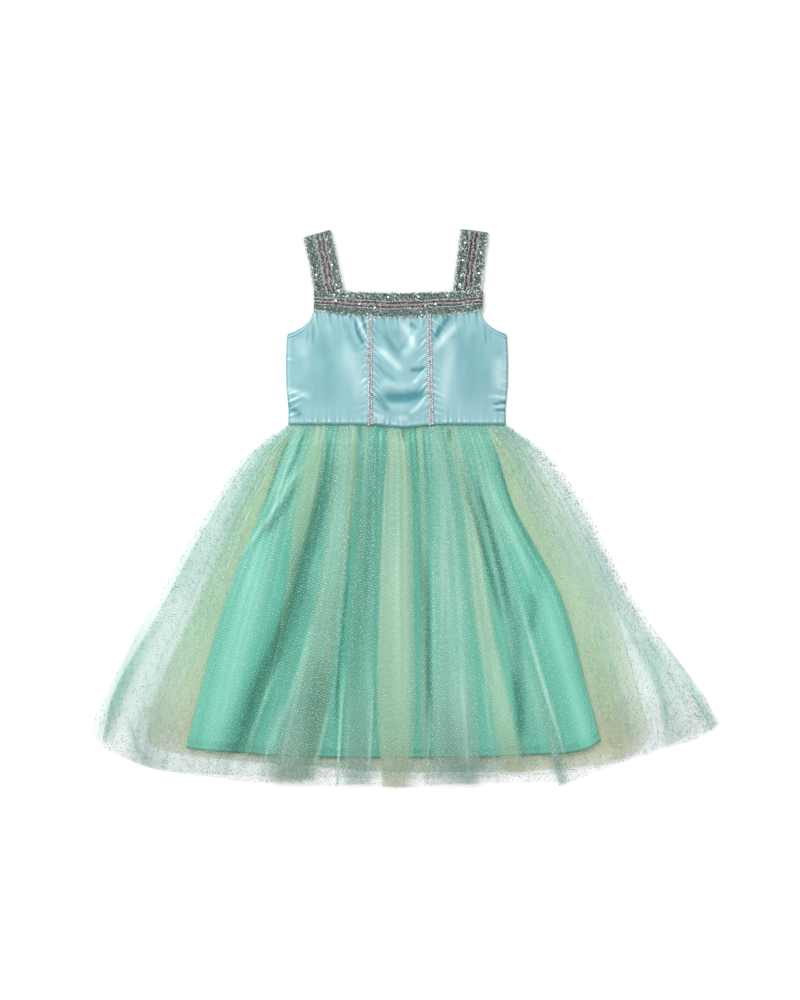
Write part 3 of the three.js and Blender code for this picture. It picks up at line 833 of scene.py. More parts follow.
glitterFrontStops = (
    (-143, -227, -301, -371, -384, 437, 0.6), (-146.5, -239, -315, -388.5, -400, 430, 1.6),
    (-141, -219, -288, -350, -364, 457, 3.4), (-136, -206, -261, -322, -336, 466, 3.2),
    (-129, -174, -225, -264, -283, 475, 2.4), (-121, -154, -193, -227, -240, 480, 3.0),
    (-110, -136, -165, -198, -211, 484, 4.5), (-96, -111, -143, -176, -194, 485, 5.5),
    (-62, -66, -83, -102.5, -111, 484, 8.5), (-77, -85, -108, -146, -178, 486, 6.5),
    (-57, -62, -69, -74, -78, 491, 5.0), (-61, -68, -75, -80, -85, 491, 4.0),
    (-30, -28, -30.5, -32, -36, 487, 8.5), (-48, -49.5, -61, -71, -73, 488, 6.5),
    (-8, -10, -13, -18, -21, 491, 4.5), (9, 12, 13, 15.5, 16, 493, 6.0),
    (27, 33, 33, 30.5, 28, 491, 4.0), (59, 78, 96, 109, 112, 488, 8.5),
    (43, 49.5, 47, 44, 39, 488, 6.5), (74, 96, 117, 134, 139, 486, 5.0),
    (97, 129, 171, 212, 234, 485, 6.0), (92, 117, 155, 193, 219, 490, 4.5),
    (109, 147, 218, 258, 279, 469, 3.5), (121, 182, 254, 296, 313, 454, 3.2),
    (131, 220, 283, 342, 356, 439, 3.6), (138, 232, 298, 368, 384, 428, 2.0),
    (143.5, 244, 315.5, 407, 428, 413, 3.0), (140, 235, 306, 392, 416, 421, 1.8),
    (147.5, 252, 322.5, 421, 436, 406, 0.8),
)

glitterBackStops = (
    (-148.5, -250, -329, -402, -420, 415, 0.6), (-146, -243, -318, -388, -405, 432, 1.8),
    (-141, -222, -292, -354, -370, 452, 0.6), (-135, -200, -258, -312, -332, 466, 1.2),
    (-122, -162, -206, -246, -262, 474, 0.8), (-90, -112, -142, -172, -184, 478, 1.2),
    (-40, -50, -62, -74, -78, 480, 0.8), (10, 14, 18, 20, 22, 482, 1.2),
    (60, 80, 104, 124, 132, 480, 0.8), (100, 134, 178, 212, 226, 474, 1.2),
    (122, 184, 240, 288, 306, 458, 0.8), (135, 222, 288, 346, 364, 439, 1.6),
    (144, 244, 312, 396, 414, 424, 0.6), (149, 254, 324, 423.5, 438.5, 403, 0.6),
)

glitterCreases = (
    (4, 2.0, ((-110, -20), (-131, -90))), (3.5, 2.6, ((-131, -75), (-172, -125))),
    (3.5, 2.2, ((-168, -118), (-212, -180))), (7, 2.2, ((-305, -320), (-345, -430))),
    (9, 1.6, ((-262, -240), (-300, -400))), (6, 1.6, ((-330, -300), (-372, -420))),
    (7, 2.2, ((262, -240), (330, -300))), (8, 2.4, ((320, -290), (368, -400))),
    (7, 1.6, ((228, -150), (290, -250))), (7, 1.8, ((150, -70), (214, -160))),
    (9, 1.6, ((300, -330), (335, -430))), (4, 1.6, ((-60, -230), (-66, -440))),
    (5, 1.6, ((84, -200), (96, -430))), (4, 1.6, ((118, -260), (128, -440))),
    (5, 1.4, ((-20, -120), (-26, -400))), (5, 1.4, ((22, -60), (24, -380))),
)

glitterDots = {
    "pitch": 4.2, "rowPitch": 0.87, "jitter": 0.85, "lean": 0.21, "radius": (0.38, 0.62), "tilt": 0.25,
    "sides": 5, "above": 0.22, "missing": 0.08, "inTurnedPly": 0.12, "atTips": 0.6, "darkSize": 1.3,
    # the silver and bright colours stand in for the flakes' glint, a painted glint; the dark one is the
    # flakes' own colour
    "colours": (("glitter dark side", (0.07, 0.16, 0.145, 1), 0.6),
                ("glitter silver", (0.38, 0.68, 0.55, 1), 0.4),
                ("glitter bright", (0.6, 0.86, 0.74, 1), 0.4)),
}


def gridPoint(grid, row, column):
    r, c = np.floor(row).astype(int), np.floor(column).astype(int)
    r, c = np.minimum(r, grid.shape[0] - 2), np.minimum(c, grid.shape[1] - 2)
    s, t = (row - r)[:, None], (column - c)[:, None]
    upper, lower = mix(grid[r, c], grid[r, c + 1], t), mix(grid[r + 1, c], grid[r + 1, c + 1], t)
    across = mix(grid[r, c + 1] - grid[r, c], grid[r + 1, c + 1] - grid[r + 1, c], s)
    return mix(upper, lower, s), across, lower - upper


def unit(vectors):
    return vectors / np.maximum(np.linalg.norm(vectors, axis=-1, keepdims=True), 1e-9)


def upwards(vectors):
    facing = unit(vectors)
    facing[facing[:, 2] < 0] *= -1
    return facing


def strew(name, template, faces, centres, across, facing, sizes, finishes, finishOf, smooth=False):
    # copies of one small shape, joined into one mesh; each stands on its centre and faces its own way
    ahead = np.cross(facing, across)
    across = np.cross(ahead, facing)
    axes = np.stack([unit(across), unit(ahead), unit(facing)], 1)
    points = np.einsum("vk,nkd->nvd", template, axes) * np.asarray(sizes)[:, None, None] + centres[:, None, :]
    faces = np.asarray(faces)
    joined = faces[None] + (np.arange(len(centres)) * len(template))[:, None, None]
    return makePiece(name, points, joined.reshape(-1, faces.shape[1]), finishes,
                     finishOf=np.repeat(finishOf, len(faces)), smooth=smooth)


def disc(sides, cup=0.0):
    turn = np.arange(sides) * 2 * np.pi / sides
    rim = np.stack([np.cos(turn), np.sin(turn), np.zeros(sides)], -1)
    if not cup:
        return rim, [list(range(sides))]
    fan = [[sides, k, (k + 1) % sides] for k in range(sides)]
    return np.concatenate([rim, [[0, 0, -cup]]]), fan


def ball(rings=4, sides=7):
    points, faces = [(0, 0, 1)], []
    for ring in range(1, rings):
        down = math.pi * ring / rings
        points += [(math.sin(down) * math.cos(2 * math.pi * k / sides),
                    math.sin(down) * math.sin(2 * math.pi * k / sides), math.cos(down)) for k in range(sides)]
    points.append((0, 0, -1))
    last = len(points) - 1
    for k in range(sides):
        after = (k + 1) % sides
        faces += [(0, 1 + k, 1 + after), (last, last - sides + after, last - sides + k)]
        for ring in range(rings - 2):
            upper, lower = 1 + ring * sides, 1 + (ring + 1) * sides
            faces += [(upper + k, lower + k, lower + after), (upper + k, lower + after, upper + after)]
    return np.array(points, float), faces


def spreadDots(wide, long):
    # an uneven lattice on the flat cloth: mm across and down
    pitch, rowPitch, jitter = glitterDots["pitch"], glitterDots["rowPitch"], glitterDots["jitter"]
    sizes = int(long / pitch / rowPitch), int(wide / pitch)
    rows, columns = (part.ravel() for part in np.meshgrid(*map(np.arange, sizes), indexing="ij"))
    across = (columns + 0.5 * (rows % 2)) * pitch + rng.uniform(-1, 1, rows.size) * jitter
    down = (rows * rowPitch + 0.5) * pitch + rng.uniform(-1, 1, rows.size) * jitter
    down = (down + across * glitterDots["lean"]) % (long - 1) + 0.5
    kept = (rng.random(rows.size) > glitterDots["missing"]) & (across > 0.5) & (across < wide - 0.5)
    return across[kept], down[kept]


def glueDots(name, grid, cloth, finishes, wingDots):
    long = cloth[-1, :, 1].max()
    across, down = spreadDots(cloth[0, -1, 0], long)
    fallen = cloth[:, grid.shape[1] // 2, 1]
    row = np.interp(down * fallen[-1] / long, fallen, np.arange(len(fallen)))
    column = np.interp(across, cloth[0, :, 0], np.arange(grid.shape[1]))
    centres, along, fall = gridPoint(grid, row, column)
    facing = upwards(np.cross(fall, along))
    centres = centres + facing * glitterDots["above"]
    facing = unit(facing + rng.normal(0, glitterDots["tilt"], facing.shape))
    # fewer where the net is gathered, in the turned ply of a pleat, in the wings and at their tips
    columnWide = np.gradient(cloth[0, :, 0])[np.minimum(column.astype(int), grid.shape[1] - 1)]
    slack = columnWide / np.maximum(np.abs(along[:, 0]), 0.02)
    chance = np.clip(1.7 / slack, 0.2, 1) * np.where(along[:, 0] < 0, glitterDots["inTurnedPly"], 1)
    aside = np.abs(centres[:, 0])
    inWing = ramp(10, 60, aside - np.interp(-centres[:, 1], (0, 439), (120, 280)))
    chance = chance * mix(1, wingDots, inWing) * mix(1, glitterDots["atTips"], ramp(340, 425, aside))
    seen = rng.random(len(centres)) < chance
    centres, along, facing = centres[seen], along[seen], facing[seen]
    sizes = rng.uniform(*glitterDots["radius"], len(centres))
    # over the satin most flakes take the silver and bright colours, a painted glint; past it, on the pale
    # floor, they take the dark colour
    outside = np.maximum(pastSatin(centres[:, 0], centres[:, 1]), (-centres[:, 1] - 440) * 0.8)
    bright = rng.random(len(centres)) < ramp(40, -6, outside)
    kinds = np.where(bright, rng.choice((1, 2), len(centres), p=(0.4, 0.6)), 0)
    sizes = sizes * np.where(bright, 1, glitterDots["darkSize"])
    template, faces = disc(glitterDots["sides"])
    return strew(name, template, faces, centres, unit(along), facing, sizes, finishes, kinds)


glitterNet = {
    "colours": ((0.1, 0.34, 0.28, 1), (0.3, 0.61, 0.51, 1), (0.6, 0.84, 0.76, 1)), "ply": 0.125,
    # the hem colour is a painted shade that the net takes towards its hem
    "hem": (0.3, 0.45, 0.39, 1), "hemDown": (0.36, 0.46),
    "front": {
        "pitch": 1.8, "bunching": 0.62, "streaks": 0.1, "broad": 0.16, "gather": 0.9, "fold": 0.55,
        "clear": 0.8,
        "dips": 1, "most": 3.2, "softTurn": 9, "faint": 70, "depth": 2.5, "valleys": 0.55, "shaped": 0.3,
        "toned": 0.85, "tones": skirtShading, "doubled": 1.35, "edges": 1, "folded": 1, "wingDots": 0.8},
    "back": {
        "streaks": 0.08, "broad": 0.12, "gather": 0.3, "fold": 0.35, "clear": 0.2, "softTurn": 9,
        "valleys": 0.3, "toned": 0.8, "tones": hemShade, "doubled": 1.35, "folded": 0.6, "wingDots": 0.25},
}


def makeGlitter(side, stops, creases, net, dots):
    name, layer = "glitter_tulle_" + side, glitterNet[side]
    made = draped(name, stops, layer, creases)
    piece = layRows(name, made, net)
    glued = glueDots(name + "_dots", made[0], made[2], dots, layer["wingDots"])
    print(name, "laid")


def makeSkirt():
    net = tulle("glitter net", *(glitterNet[key] for key in ("colours", "ply", "hem", "hemDown")))
    dots = [plain(*colour) for colour in glitterDots["colours"]]
    makeGlitter("back", glitterBackStops, (), net, dots)
    makeLimeBack()
    makeSatinSkirt()
    makeLimeFront()
    makeGlitter("front", glitterFrontStops, glitterCreases, net, dots)


# bodice panels

# Broad soft folds of the front: half width, height, line
bodiceFolds = (
    (8, 1.7, ((-62, 158), (-54, 96))), (10, -0.9, ((-76, 150), (-70, 70))),
    (4, 1.1, ((-50, 150), (-44, 112))), (8, 1.9, ((62, 156), (70, 92))), (4, 1.2, ((54, 150), (50, 112))),
    (12, -0.8, ((84, 140), (88, 50))), (7, 2.0, ((-26, 140), (-4, 74))), (6, -1.5, ((-4, 132), (12, 92))),
    (7, 1.7, ((32, 140), (14, 82))), (4.5, -1.0, ((24, 128), (4, 96))), (8, 1.2, ((-24, 60), (2, 30))),
    (8, 1.2, ((34, 62), (12, 30))), (9, -2.0, ((-22, 40), (30, 40))), (7, 1.2, ((-18, 22), (26, 22))),
    (16, 0.9, ((-106, 100), (-100, 20))), (9, -0.8, ((-130, 60), (-128, 10))),
    (16, 0.9, ((110, 96), (108, 14))), (9, -0.8, ((132, 70), (130, 14))),
    (7, 0.7, ((-128, 112), (-118, 60))), (7, 0.7, ((130, 112), (120, 66))),
    (6, 0.7, ((-92, 140), (-88, 96))), (6, 0.7, ((98, 140), (96, 96))),
)

# Softer and deeper places of the satin, as painted highlight where the strength is above 0 and painted shade
# where it is below, which also raise and lower it a little: half width, strength, line
bodiceShading = (
    (12, 0.45, ((-73, 117), (-62, 86), (-51, 52), (-48, 24))),
    (10, 0.3, ((-138, 118), (-128, 106), (-124, 85))), (1.6, -0.35, ((-113, 138), (-114, 104))),
    (1.3, -0.25, ((-120, 132), (-122, 108))), (2.6, -0.8, ((-60, 150), (-54, 126), (-42, 101))),
    (2, 0.7, ((-56, 151), (-48, 130), (-38, 110))), (1.8, -0.6, ((-50, 151), (-43, 132), (-36, 118))),
    (5, -0.35, ((-72, 148), (-64, 123), (-54, 93))), (20, -0.25, ((-98, 140), (-102, 72), (-98, 10))),
    (5, -0.7, ((-158, 34), (-142, 20), (-124, 8))), (4, 0.5, ((-162, 50), (-140, 44), (-112, 34))),
    (5, 0.95, ((-33, 107), (-16, 94), (-2, 81), (11, 68))),
    (5, -0.45, ((-34, 137), (-18, 119), (-3, 102), (12, 85))), (4, -0.35, ((-33, 86), (-16, 69), (2, 55))),
    (5, 0.8, ((4, 143), (14, 126), (21, 111), (27, 95))), (4, -0.6, ((16, 138), (29, 126))),
    (4, -0.75, ((14, 73), (31, 73), (42, 78))), (2.5, 0.7, ((18, 52), (32, 62), (43, 73))),
    (8, -1.1, ((-26, 41), (-6, 35), (10, 34), (26, 39), (44, 48))),
    (5, -0.6, ((-31, 43), (-20, 27), (-7, 12))), (3, 0.75, ((14, 11), (29, 23), (43, 37))),
    (4, 0.5, ((-34, 13), (-14, 6))), (4, 0.4, ((-3, 8), (18, 7))),
    (5, 0.35, ((-22, 59), (3, 50), (24, 54))), (4.5, -0.9, ((46, 110), (59, 129), (76, 152))),
    (5, 0.8, ((46, 95), (64, 115), (87, 141))), (9, 0.5, ((79, 130), (71, 85), (64, 45), (67, 12))),
    (20, -0.35, ((98, 142), (101, 79), (98, 15))), (1.8, -0.35, ((119, 142), (121, 104))),
    (1.3, -0.2, ((126, 134), (127, 110))), (9, 0.6, ((139, 98), (138, 69), (139, 40))),
    (2.8, -0.9, ((127, 26), (146, 29), (165, 32))), (2.2, -0.8, ((128, 20), (146, 18), (164, 17))),
    (2, 0.7, ((126, 23), (146, 24), (164, 24))), (3, 0.5, ((118, 38), (146, 36), (166, 38))),
)

# Puckers beside each braid: how far up, how long, how far they fall, how high
braidPuckers = {
    "leftOuter": ((151, 18, 8, 0.8), (140, 26, 14, 1.0), (129, 16, 7, 0.8), (118, 21, 9, 0.9),
     (108, 13, 5, 0.8), (99, 15, 5, 0.8), (90, 12, 5, 0.9), (80, 17, 6, 0.9), (71, 13, 5, 0.8),
     (61, 22, 7, 1.0), (52, 15, 5, 0.9), (43, 19, 6, 1.0), (34, 14, 4, 0.9), (25, 23, 6, 1.0),
     (15, 16, 4, 0.8)),
    "leftInner": ((142, 13, 7, 0.7), (130, 18, 11, 0.9), (119, 22, 14, 1.1), (109, 15, 9, 0.9),
     (99, 24, 15, 1.2), (89, 17, 10, 1.0), (80, 27, 16, 1.2), (70, 18, 10, 1.0), (61, 29, 16, 1.2),
     (51, 20, 10, 1.0), (42, 30, 13, 1.2), (33, 19, 8, 1.0), (24, 26, 9, 1.1), (14, 17, 5, 0.9)),
    "rightInner": ((145, 14, 8, 0.8), (134, 21, 12, 1.0), (123, 16, 9, 0.9), (114, 25, 15, 1.2),
     (104, 17, 10, 1.0), (94, 22, 13, 1.1), (85, 15, 9, 0.9), (75, 26, 15, 1.2), (66, 18, 10, 1.0),
     (56, 28, 15, 1.2), (47, 19, 9, 1.0), (38, 29, 12, 1.2), (28, 18, 7, 1.0), (18, 24, 7, 1.0)),
    "rightOuter": ((152, 22, 10, 0.9), (141, 30, 17, 1.1), (130, 18, 9, 0.9), (120, 24, 11, 1.0),
     (110, 14, 6, 0.8), (101, 18, 7, 0.9), (91, 13, 5, 0.8), (82, 20, 7, 1.0), (72, 14, 5, 0.9),
     (63, 23, 8, 1.0), (53, 16, 5, 0.9), (44, 21, 7, 1.0), (35, 14, 5, 0.9), (26, 20, 6, 1.0),
     (16, 15, 4, 0.8)),
}

# Puckers of the side seams, from the seam inwards
sidePuckers = (
    (-1, 88, 16, 3, 0.6), (-1, 66, 14, -3, 0.7), (-1, 52, 20, -5, 1.0), (-1, 40, 24, -7, 1.2),
    (-1, 30, 26, -9, 1.3), (-1, 20, 22, -8, 1.2), (-1, 11, 18, -5, 1.0), (1, 96, 14, 2, 0.6),
    (1, 74, 16, -3, 0.8), (1, 58, 18, -2, 1.0), (1, 46, 22, -4, 1.2), (1, 34, 27, -5, 1.4),
    (1, 24, 24, -6, 1.3), (1, 14, 20, -5, 1.0),
)


def puckered(x, y, seam, side, puckers):
    height = np.zeros_like(x)
    for up, long, fall, rise in puckers:
        rise = rise * (0.65 + 0.35 * math.cos(2.7 * up + side))
        long = long * (0.8 + 0.3 * math.sin(1.3 * up))
        out = np.clip(side * (x - seam) / (0.8 * long), 0, 1.4)
        beside = y - up + fall * out ** 1.3
        fade = ramp(0.0, 0.1, out) * ramp(1.25, 0.25, out)
        height += rise * fade * np.exp(-((beside / (1.1 + (1.5 + 0.5 * math.cos(up)) * out)) ** 2))
    return height


def bodiceHeight(x, y):
    leftSeam, rightSeam = princessX("left", y), princessX("right", y)
    fromSeam = np.minimum(np.abs(x - leftSeam), np.abs(x - rightSeam))
    fromSide = seamHalf(y) - np.abs(x)
    below = neckline(x) - bodice["bandHeight"] - bodice["bandSag"] - y
    soft = toned(x, y, bodiceFolds) * ramp(2, 12, fromSeam) * ramp(-4, 14, below) * ramp(3, 20, fromSide)
    puckers = puckered(x, y, leftSeam - 3, -1, braidPuckers["leftOuter"]) * (x < leftSeam)
    puckers += puckered(x, y, leftSeam + 3, 1, braidPuckers["leftInner"]) * (x > leftSeam)
    puckers += puckered(x, y, rightSeam - 3, -1, braidPuckers["rightInner"]) * (x < rightSeam)
    puckers += puckered(x, y, rightSeam + 3, 1, braidPuckers["rightOuter"]) * (x > rightSeam)
    for side, up, long, fall, rise in sidePuckers:
        puckers += puckered(x, y, side * seamHalf(np.full_like(y, up)), -side, ((up, long, fall, rise),))
    band = 0.5 * waves(x + 0.15 * y, ((9.0, 0.3, 0.6), (14.3, 1.9, 0.8), (5.7, 4.0, 0.4)))
    gathered = band * np.exp(-np.clip(below, 0, 99) / 9) * ramp(-12, -2, below)
    waist = (0.35 + 0.2 * np.cos(x / 13 + 1)) * waves(x, ((6.1, 0.8, 0.6), (9.7, 2.2, 0.7), (23.0, 0.4, 0.6)))
    gathered += waist * ramp(0, 3, y - waistline(x)) * np.exp(-np.clip(y - waistline(x) - 3, 0, 99) / 5)
    rolled = -1.1 * (1 - ramp(0, 4.5, fromSide)) - 1.0 * (1 - ramp(0, 3.5, y - waistline(x)))
    rolled -= 0.6 * (1 - ramp(0, 4, fromSeam))
    formed = 0.6 * soft + 0.85 * puckers + gathered + rolled
    return frontUnder(x, y) + 1.2 + formed + 0.5 * toned(x, y, bodiceShading)


def makeFrontPanel(name, leftEdge, rightEdge, columns, finish):
    up = np.linspace(0, 1, bodice["rows"])[:, None]
    share = np.linspace(0, 1, columns)[None, :]
    x = mix(leftEdge(up * 176), rightEdge(up * 176), share)
    y = mix(waistline(x) - 0.4, neckline(x) - 3, up)
    z = np.maximum(bodiceHeight(x, y), bodice["lowestFront"])
    grid = np.stack([x, y, z], -1)[::-1]
    # painted shade in hollows and painted highlight on ridges, plus the bodice's painted shading lines
    paintedShading = reliefOf(grid, 14, 0.75) + toned(grid[..., 0], grid[..., 1], bodiceShading)
    piece = makePiece(name, grid, gridFaces(*x.shape), [finish], [name], grid[..., :2] + 500,
                      {"paintedShading": np.clip(paintedShading, -1, 1)})
    thicken(piece, bodice["thick"])


def makeBackPanel(name, side, finish):
    # plain, and lapped 9 mm over the other at the centre back
    outward, lap = (-1, 9) if side == "left" else (1, -9)
    up = np.linspace(0, 1, bodice["backRows"])[:, None]
    share = np.linspace(0, 1, bodice["backRows"])[None, :]
    outer = outward * (seamHalf(up * 178) - 0.8)
    x = mix(outer, lap, share) if side == "left" else mix(lap, outer, share)
    y = up * neckline(x)
    over = ramp(-16, -10, x) * 1.2 if side == "left" else 0
    z = 0.75 + over + 0.12 * waves(x + 0.4 * y, ((31.0, 0.5, 1.0), (53.0, 2.0, 1.0)))
    grid = np.stack([x, y, z], -1)[::-1]
    piece = makePiece(name, grid, gridFaces(*x.shape), [finish], [name], grid[..., :2] + 500)
    thicken(piece, bodice["thick"])


armholeBinding = {
    "from": 118, "to": 153.5, "points": 60, "long": 52, "wide": 11,
    # round the folded edge: mm out from the armhole and up, and its shading: painted highlight where above 0,
    # on top, and painted shade where below 0, at the sides and underneath
    "section": ((-3.4, 1.25, -1), (-3.1, 1.6, -0.6), (-2.2, 2.0, 0.4), (-1.1, 1.9, 0.3), (-0.2, 1.4, -0.6),
                (0.1, 0.2, -0.9), (-0.2, -1.0, -0.9), (-1.1, -1.4, -0.9), (-3.2, -1.4, -0.9)),
}


def makeBinding(side, finish):
    # a folded strip over the cut edge of the armhole, as a rounded U
    name, sign = "armhole_binding_" + side, -1 if side == "left" else 1
    up = np.linspace(armholeBinding["from"], armholeBinding["to"], armholeBinding["points"])
    x = seamHalf(up)
    outward = unit(np.stack([np.gradient(up), -np.gradient(x)], -1))
    under, rows = frontUnder(x, up), []
    for out, high, tone in armholeBinding["section"]:
        lift = 0.5 * under + 0.75 * high if high > 0 else 0.6 * high
        z = np.maximum(0.3 * under + 0.69 + lift, 0.3)
        rows.append(np.stack([sign * (x + outward[:, 0] * out), up + outward[:, 1] * out, z], -1))
    grid = np.stack(rows)
    if side == "left":
        grid = grid[:, ::-1]
    count = len(armholeBinding["section"])
    lengths = np.linspace(0, armholeBinding["long"], len(up))
    flat = np.stack(np.meshgrid(lengths, np.linspace(0, armholeBinding["wide"], count)), -1)
    tones = [tone for out, high, tone in armholeBinding["section"]]
    paintedShading = np.array(tones)[:, None] * np.ones(grid.shape[:2])
    piece = makePiece(name, grid[::-1], gridFaces(*grid.shape[:2]), [finish], [name], flat,
                      {"paintedShading": paintedShading[::-1]})


def makeBodice(trims):
    colours = ((0.05, 0.23, 0.27, 1), (0.19, 0.42, 0.46, 1), (0.58, 0.75, 0.75, 1))
    finish = satin("bodice satin", colours, 0.42, 0.2)
    for side in ("right", "left"):
        makeBackPanel("bodice_back_" + side, side, finish)
    makeFrontPanel("bodice_front_left", lambda y: -(seamHalf(y) - 0.6), lambda y: princessX("left", y) - 0.2,
                   bodice["columns"], finish)
    makeFrontPanel("bodice_front_centre", lambda y: princessX("left", y) + 0.2,
                   lambda y: princessX("right", y) - 0.2, bodice["centreColumns"], finish)
    makeFrontPanel("bodice_front_right", lambda y: princessX("right", y) + 0.2, lambda y: seamHalf(y) - 0.6,
                   bodice["columns"], finish)
    for side in ("left", "right"):
        makeBinding(side, finish)
    print("bodice ready")


# trims: ribbons with rows of sequins and beads

trimColours = {
    "ribbon": ((0.06, 0.08, 0.075, 1), (0.2, 0.24, 0.23, 1)),
    "sequins": (("deep green sequin", (0.025, 0.055, 0.048, 1)), ("green sequin", (0.08, 0.2, 0.155, 1)),
                ("sage sequin", (0.35, 0.48, 0.42, 1)), ("pale sequin", (0.86, 0.92, 0.88, 1)),
                ("teal sequin", (0.03, 0.17, 0.16, 1))),
    "beads": (("pale bead", (0.5, 0.53, 0.51, 1), (0.85, 0.88, 0.86, 1)),
              ("brown bead", (0.018, 0.011, 0.012, 1), (0.09, 0.06, 0.062, 1)),
              ("mauve bead", (0.4, 0.33, 0.35, 1), (0.72, 0.64, 0.66, 1))),
}


# Across a trim, from its outer edge to its inner one: what lies there, from, to, and the mix of sequins
def strapStripes(middle):
    lines = ((-0.2, 0), (-0.155, 0), (-0.1, 1), (-0.06, 1), (-0.016, 2), (0.016, 2), (0.06, 1), (0.1, 1),
             (0.155, 0))
    return (
        ("picot", -0.04, 0.07, None), ("sequins", 0.06, middle - 0.21, (0.44, 0.25, 0.14, 0.13, 0.04)),
        *(("line", middle + aside, middle + aside, what) for aside, what in lines),
        ("sequins", middle + 0.17, 0.92, (0.34, 0.28, 0.18, 0.16, 0.04)), ("picot", 0.92, 1.05, None),
    )


bandStripes = (
    ("picot", -0.04, 0.04, None), ("sequins", 0.03, 0.3, (0.38, 0.3, 0.16, 0.12, 0.04)),
    ("line", 0.34, 0.34, 0), ("line", 0.39, 0.39, 1), ("line", 0.43, 0.43, 1), ("line", 0.475, 0.475, 2),
    ("line", 0.51, 0.51, 2), ("line", 0.555, 0.555, 1), ("line", 0.6, 0.6, 1), ("line", 0.65, 0.65, 0),
    ("sequins", 0.69, 0.95, (0.2, 0.3, 0.2, 0.08, 0.22)), ("picot", 0.95, 1.04, None),
)

# Large clear spangles, as shares of each trim's length and width
spangles = {
    "neckband": ((0.12, 0.15), (0.2, 0.17), (0.44, 0.17), (0.62, 0.16), (0.79, 0.14), (0.27, 0.5),
                 (0.36, 0.62),
                 (0.72, 0.5), (0.66, 0.55), (0.13, 0.42)),
    "strap_left": ((0.88, 0.79), (0.68, 0.8), (0.46, 0.78), (0.12, 0.8), (0.03, 0.84), (0.3, 0.16)),
    "strap_right": ((0.8, 0.8), (0.52, 0.8), (0.27, 0.78), (0.66, 0.16), (0.3, 0.14), (0.12, 0.8)),
}

straps = {
    "long": 80, "wide": 37, "high": 4.5,
    "left": {"middle": 0.575, "outer": ((-111.3, 180.5), (-125.5, 251)),
             "inner": ((-72.6, 178), (-90.2, 261.5))},
    "right": {"middle": 0.49, "outer": ((113.3, 181), (122.8, 258)), "inner": ((76.7, 178), (87.5, 263))},
}


def onBand(along, across):
    half = bodice["neckHalf"] + 0.5
    x = mix(-112.5, 116, along)
    height = bodice["bandHeight"] + bodice["bandSag"] * (1 - (x / half) ** 2)
    y = neckline(x) + 1 - across * height
    crown = 0.5 * np.sin(np.pi * np.clip(across, 0, 1))
    crown = crown + 0.14 * waves(x, ((37.0, 1.0, 1.0), (61.0, 2.0, 1.0)))
    return np.stack([x, y, frontUnder(x, y) + 2.05 + crown], -1)


def onStrap(side, along, across):
    edges = [np.array(straps[side][edge]) for edge in ("outer", "inner")]
    outer, inner = (mix(low[:, None], high[:, None], along) for low, high in edges)
    x, y = mix(outer, inner, across)
    bow = 0.48 * np.sin(np.pi * along) * (1 if side == "left" else -1)
    crown = 0.4 * np.sin(np.pi * np.clip(across, 0, 1)) + 0.5 * np.sin(along * 9 + across)
    return np.stack([x + bow, y, straps["high"] + crown - 0.8 * ramp(0.85, 1.0, along)], -1)


trimBeading = {"linePitch": 1.45, "missing": 0.07, "odd": 0.22, "picotPitch": 0.4,
               "picotMix": (0.1, 0.18, 0.3, 0.42, 0.0), "picotSize": 0.62, "sequinArea": 1.5,
               "sequinSize": (0.5, 0.95), "beadSize": (0.58, 0.78), "spangleSize": (1.2, 1.8)}


def dressTrim(long, wide, stripes):
    # places for sequins and beads on one trim, as shares of its length and width
    sequins, beads = [], []
    for kind, start, stop, what in stripes:
        if kind == "line":
            count = int(long / trimBeading["linePitch"])
            along = (np.arange(count) + 0.5) / count
            wavy = 0.013 * np.sin(31 * along + 1.5 * start) + 0.009 * np.sin(13 * along + 2)
            across = start + wavy + rng.normal(0, 0.006, count)
            keep = rng.random(count) > trimBeading["missing"]
            kinds = np.where(rng.random(count) < trimBeading["odd"], rng.integers(0, 3, count), what)
            beads.append((along[keep], across[keep], kinds[keep]))
        elif kind == "picot":
            count = int(long / trimBeading["picotPitch"])
            along = (np.arange(count) + 0.5) / count
            across = rng.uniform(start, stop, count)
            mixed = rng.choice(5, count, p=trimBeading["picotMix"])
            sequins.append((along, across, mixed, np.full(count, trimBeading["picotSize"])))
        else:
            count = int(long * (stop - start) * wide / trimBeading["sequinArea"])
            along = rng.random(count)
            across = rng.uniform(start, stop, count)
            mixed = rng.choice(5, count, p=what)
            sequins.append((along, across, mixed, rng.uniform(*trimBeading["sequinSize"], count)))
    return [np.concatenate(part) for part in zip(*sequins)], [np.concatenate(part) for part in zip(*beads)]


def facingOn(place, along, across):
    step = 0.004
    run = place(along + step, across) - place(along - step, across)
    side = place(along, across + step) - place(along, across - step)
    return unit(run), upwards(np.cross(run, side))


def trimSequins(name, place, sequins, finishes):
    along, across, kinds, sizes = sequins
    run, facing = facingOn(place, along, across)
    centres = place(along, across) + facing * rng.uniform(0.5, 1.1, len(along))[:, None]
    tilted = unit(facing + rng.normal(0, 0.3, facing.shape))
    template, faces = disc(6, 0.35)
    return strew(name + "_sequins", template, faces, centres, run, tilted, sizes, finishes,
                 kinds)


def trimBeads(name, place, beads, finishes):
    along, across, kinds = beads
    run, facing = facingOn(place, along, across)
    template, faces = ball()
    sizes = rng.uniform(*trimBeading["beadSize"], len(along))
    return strew(name + "_beads", template, faces, place(along, across) + facing * 0.65, run, facing, sizes,
                 finishes, kinds, smooth=True)


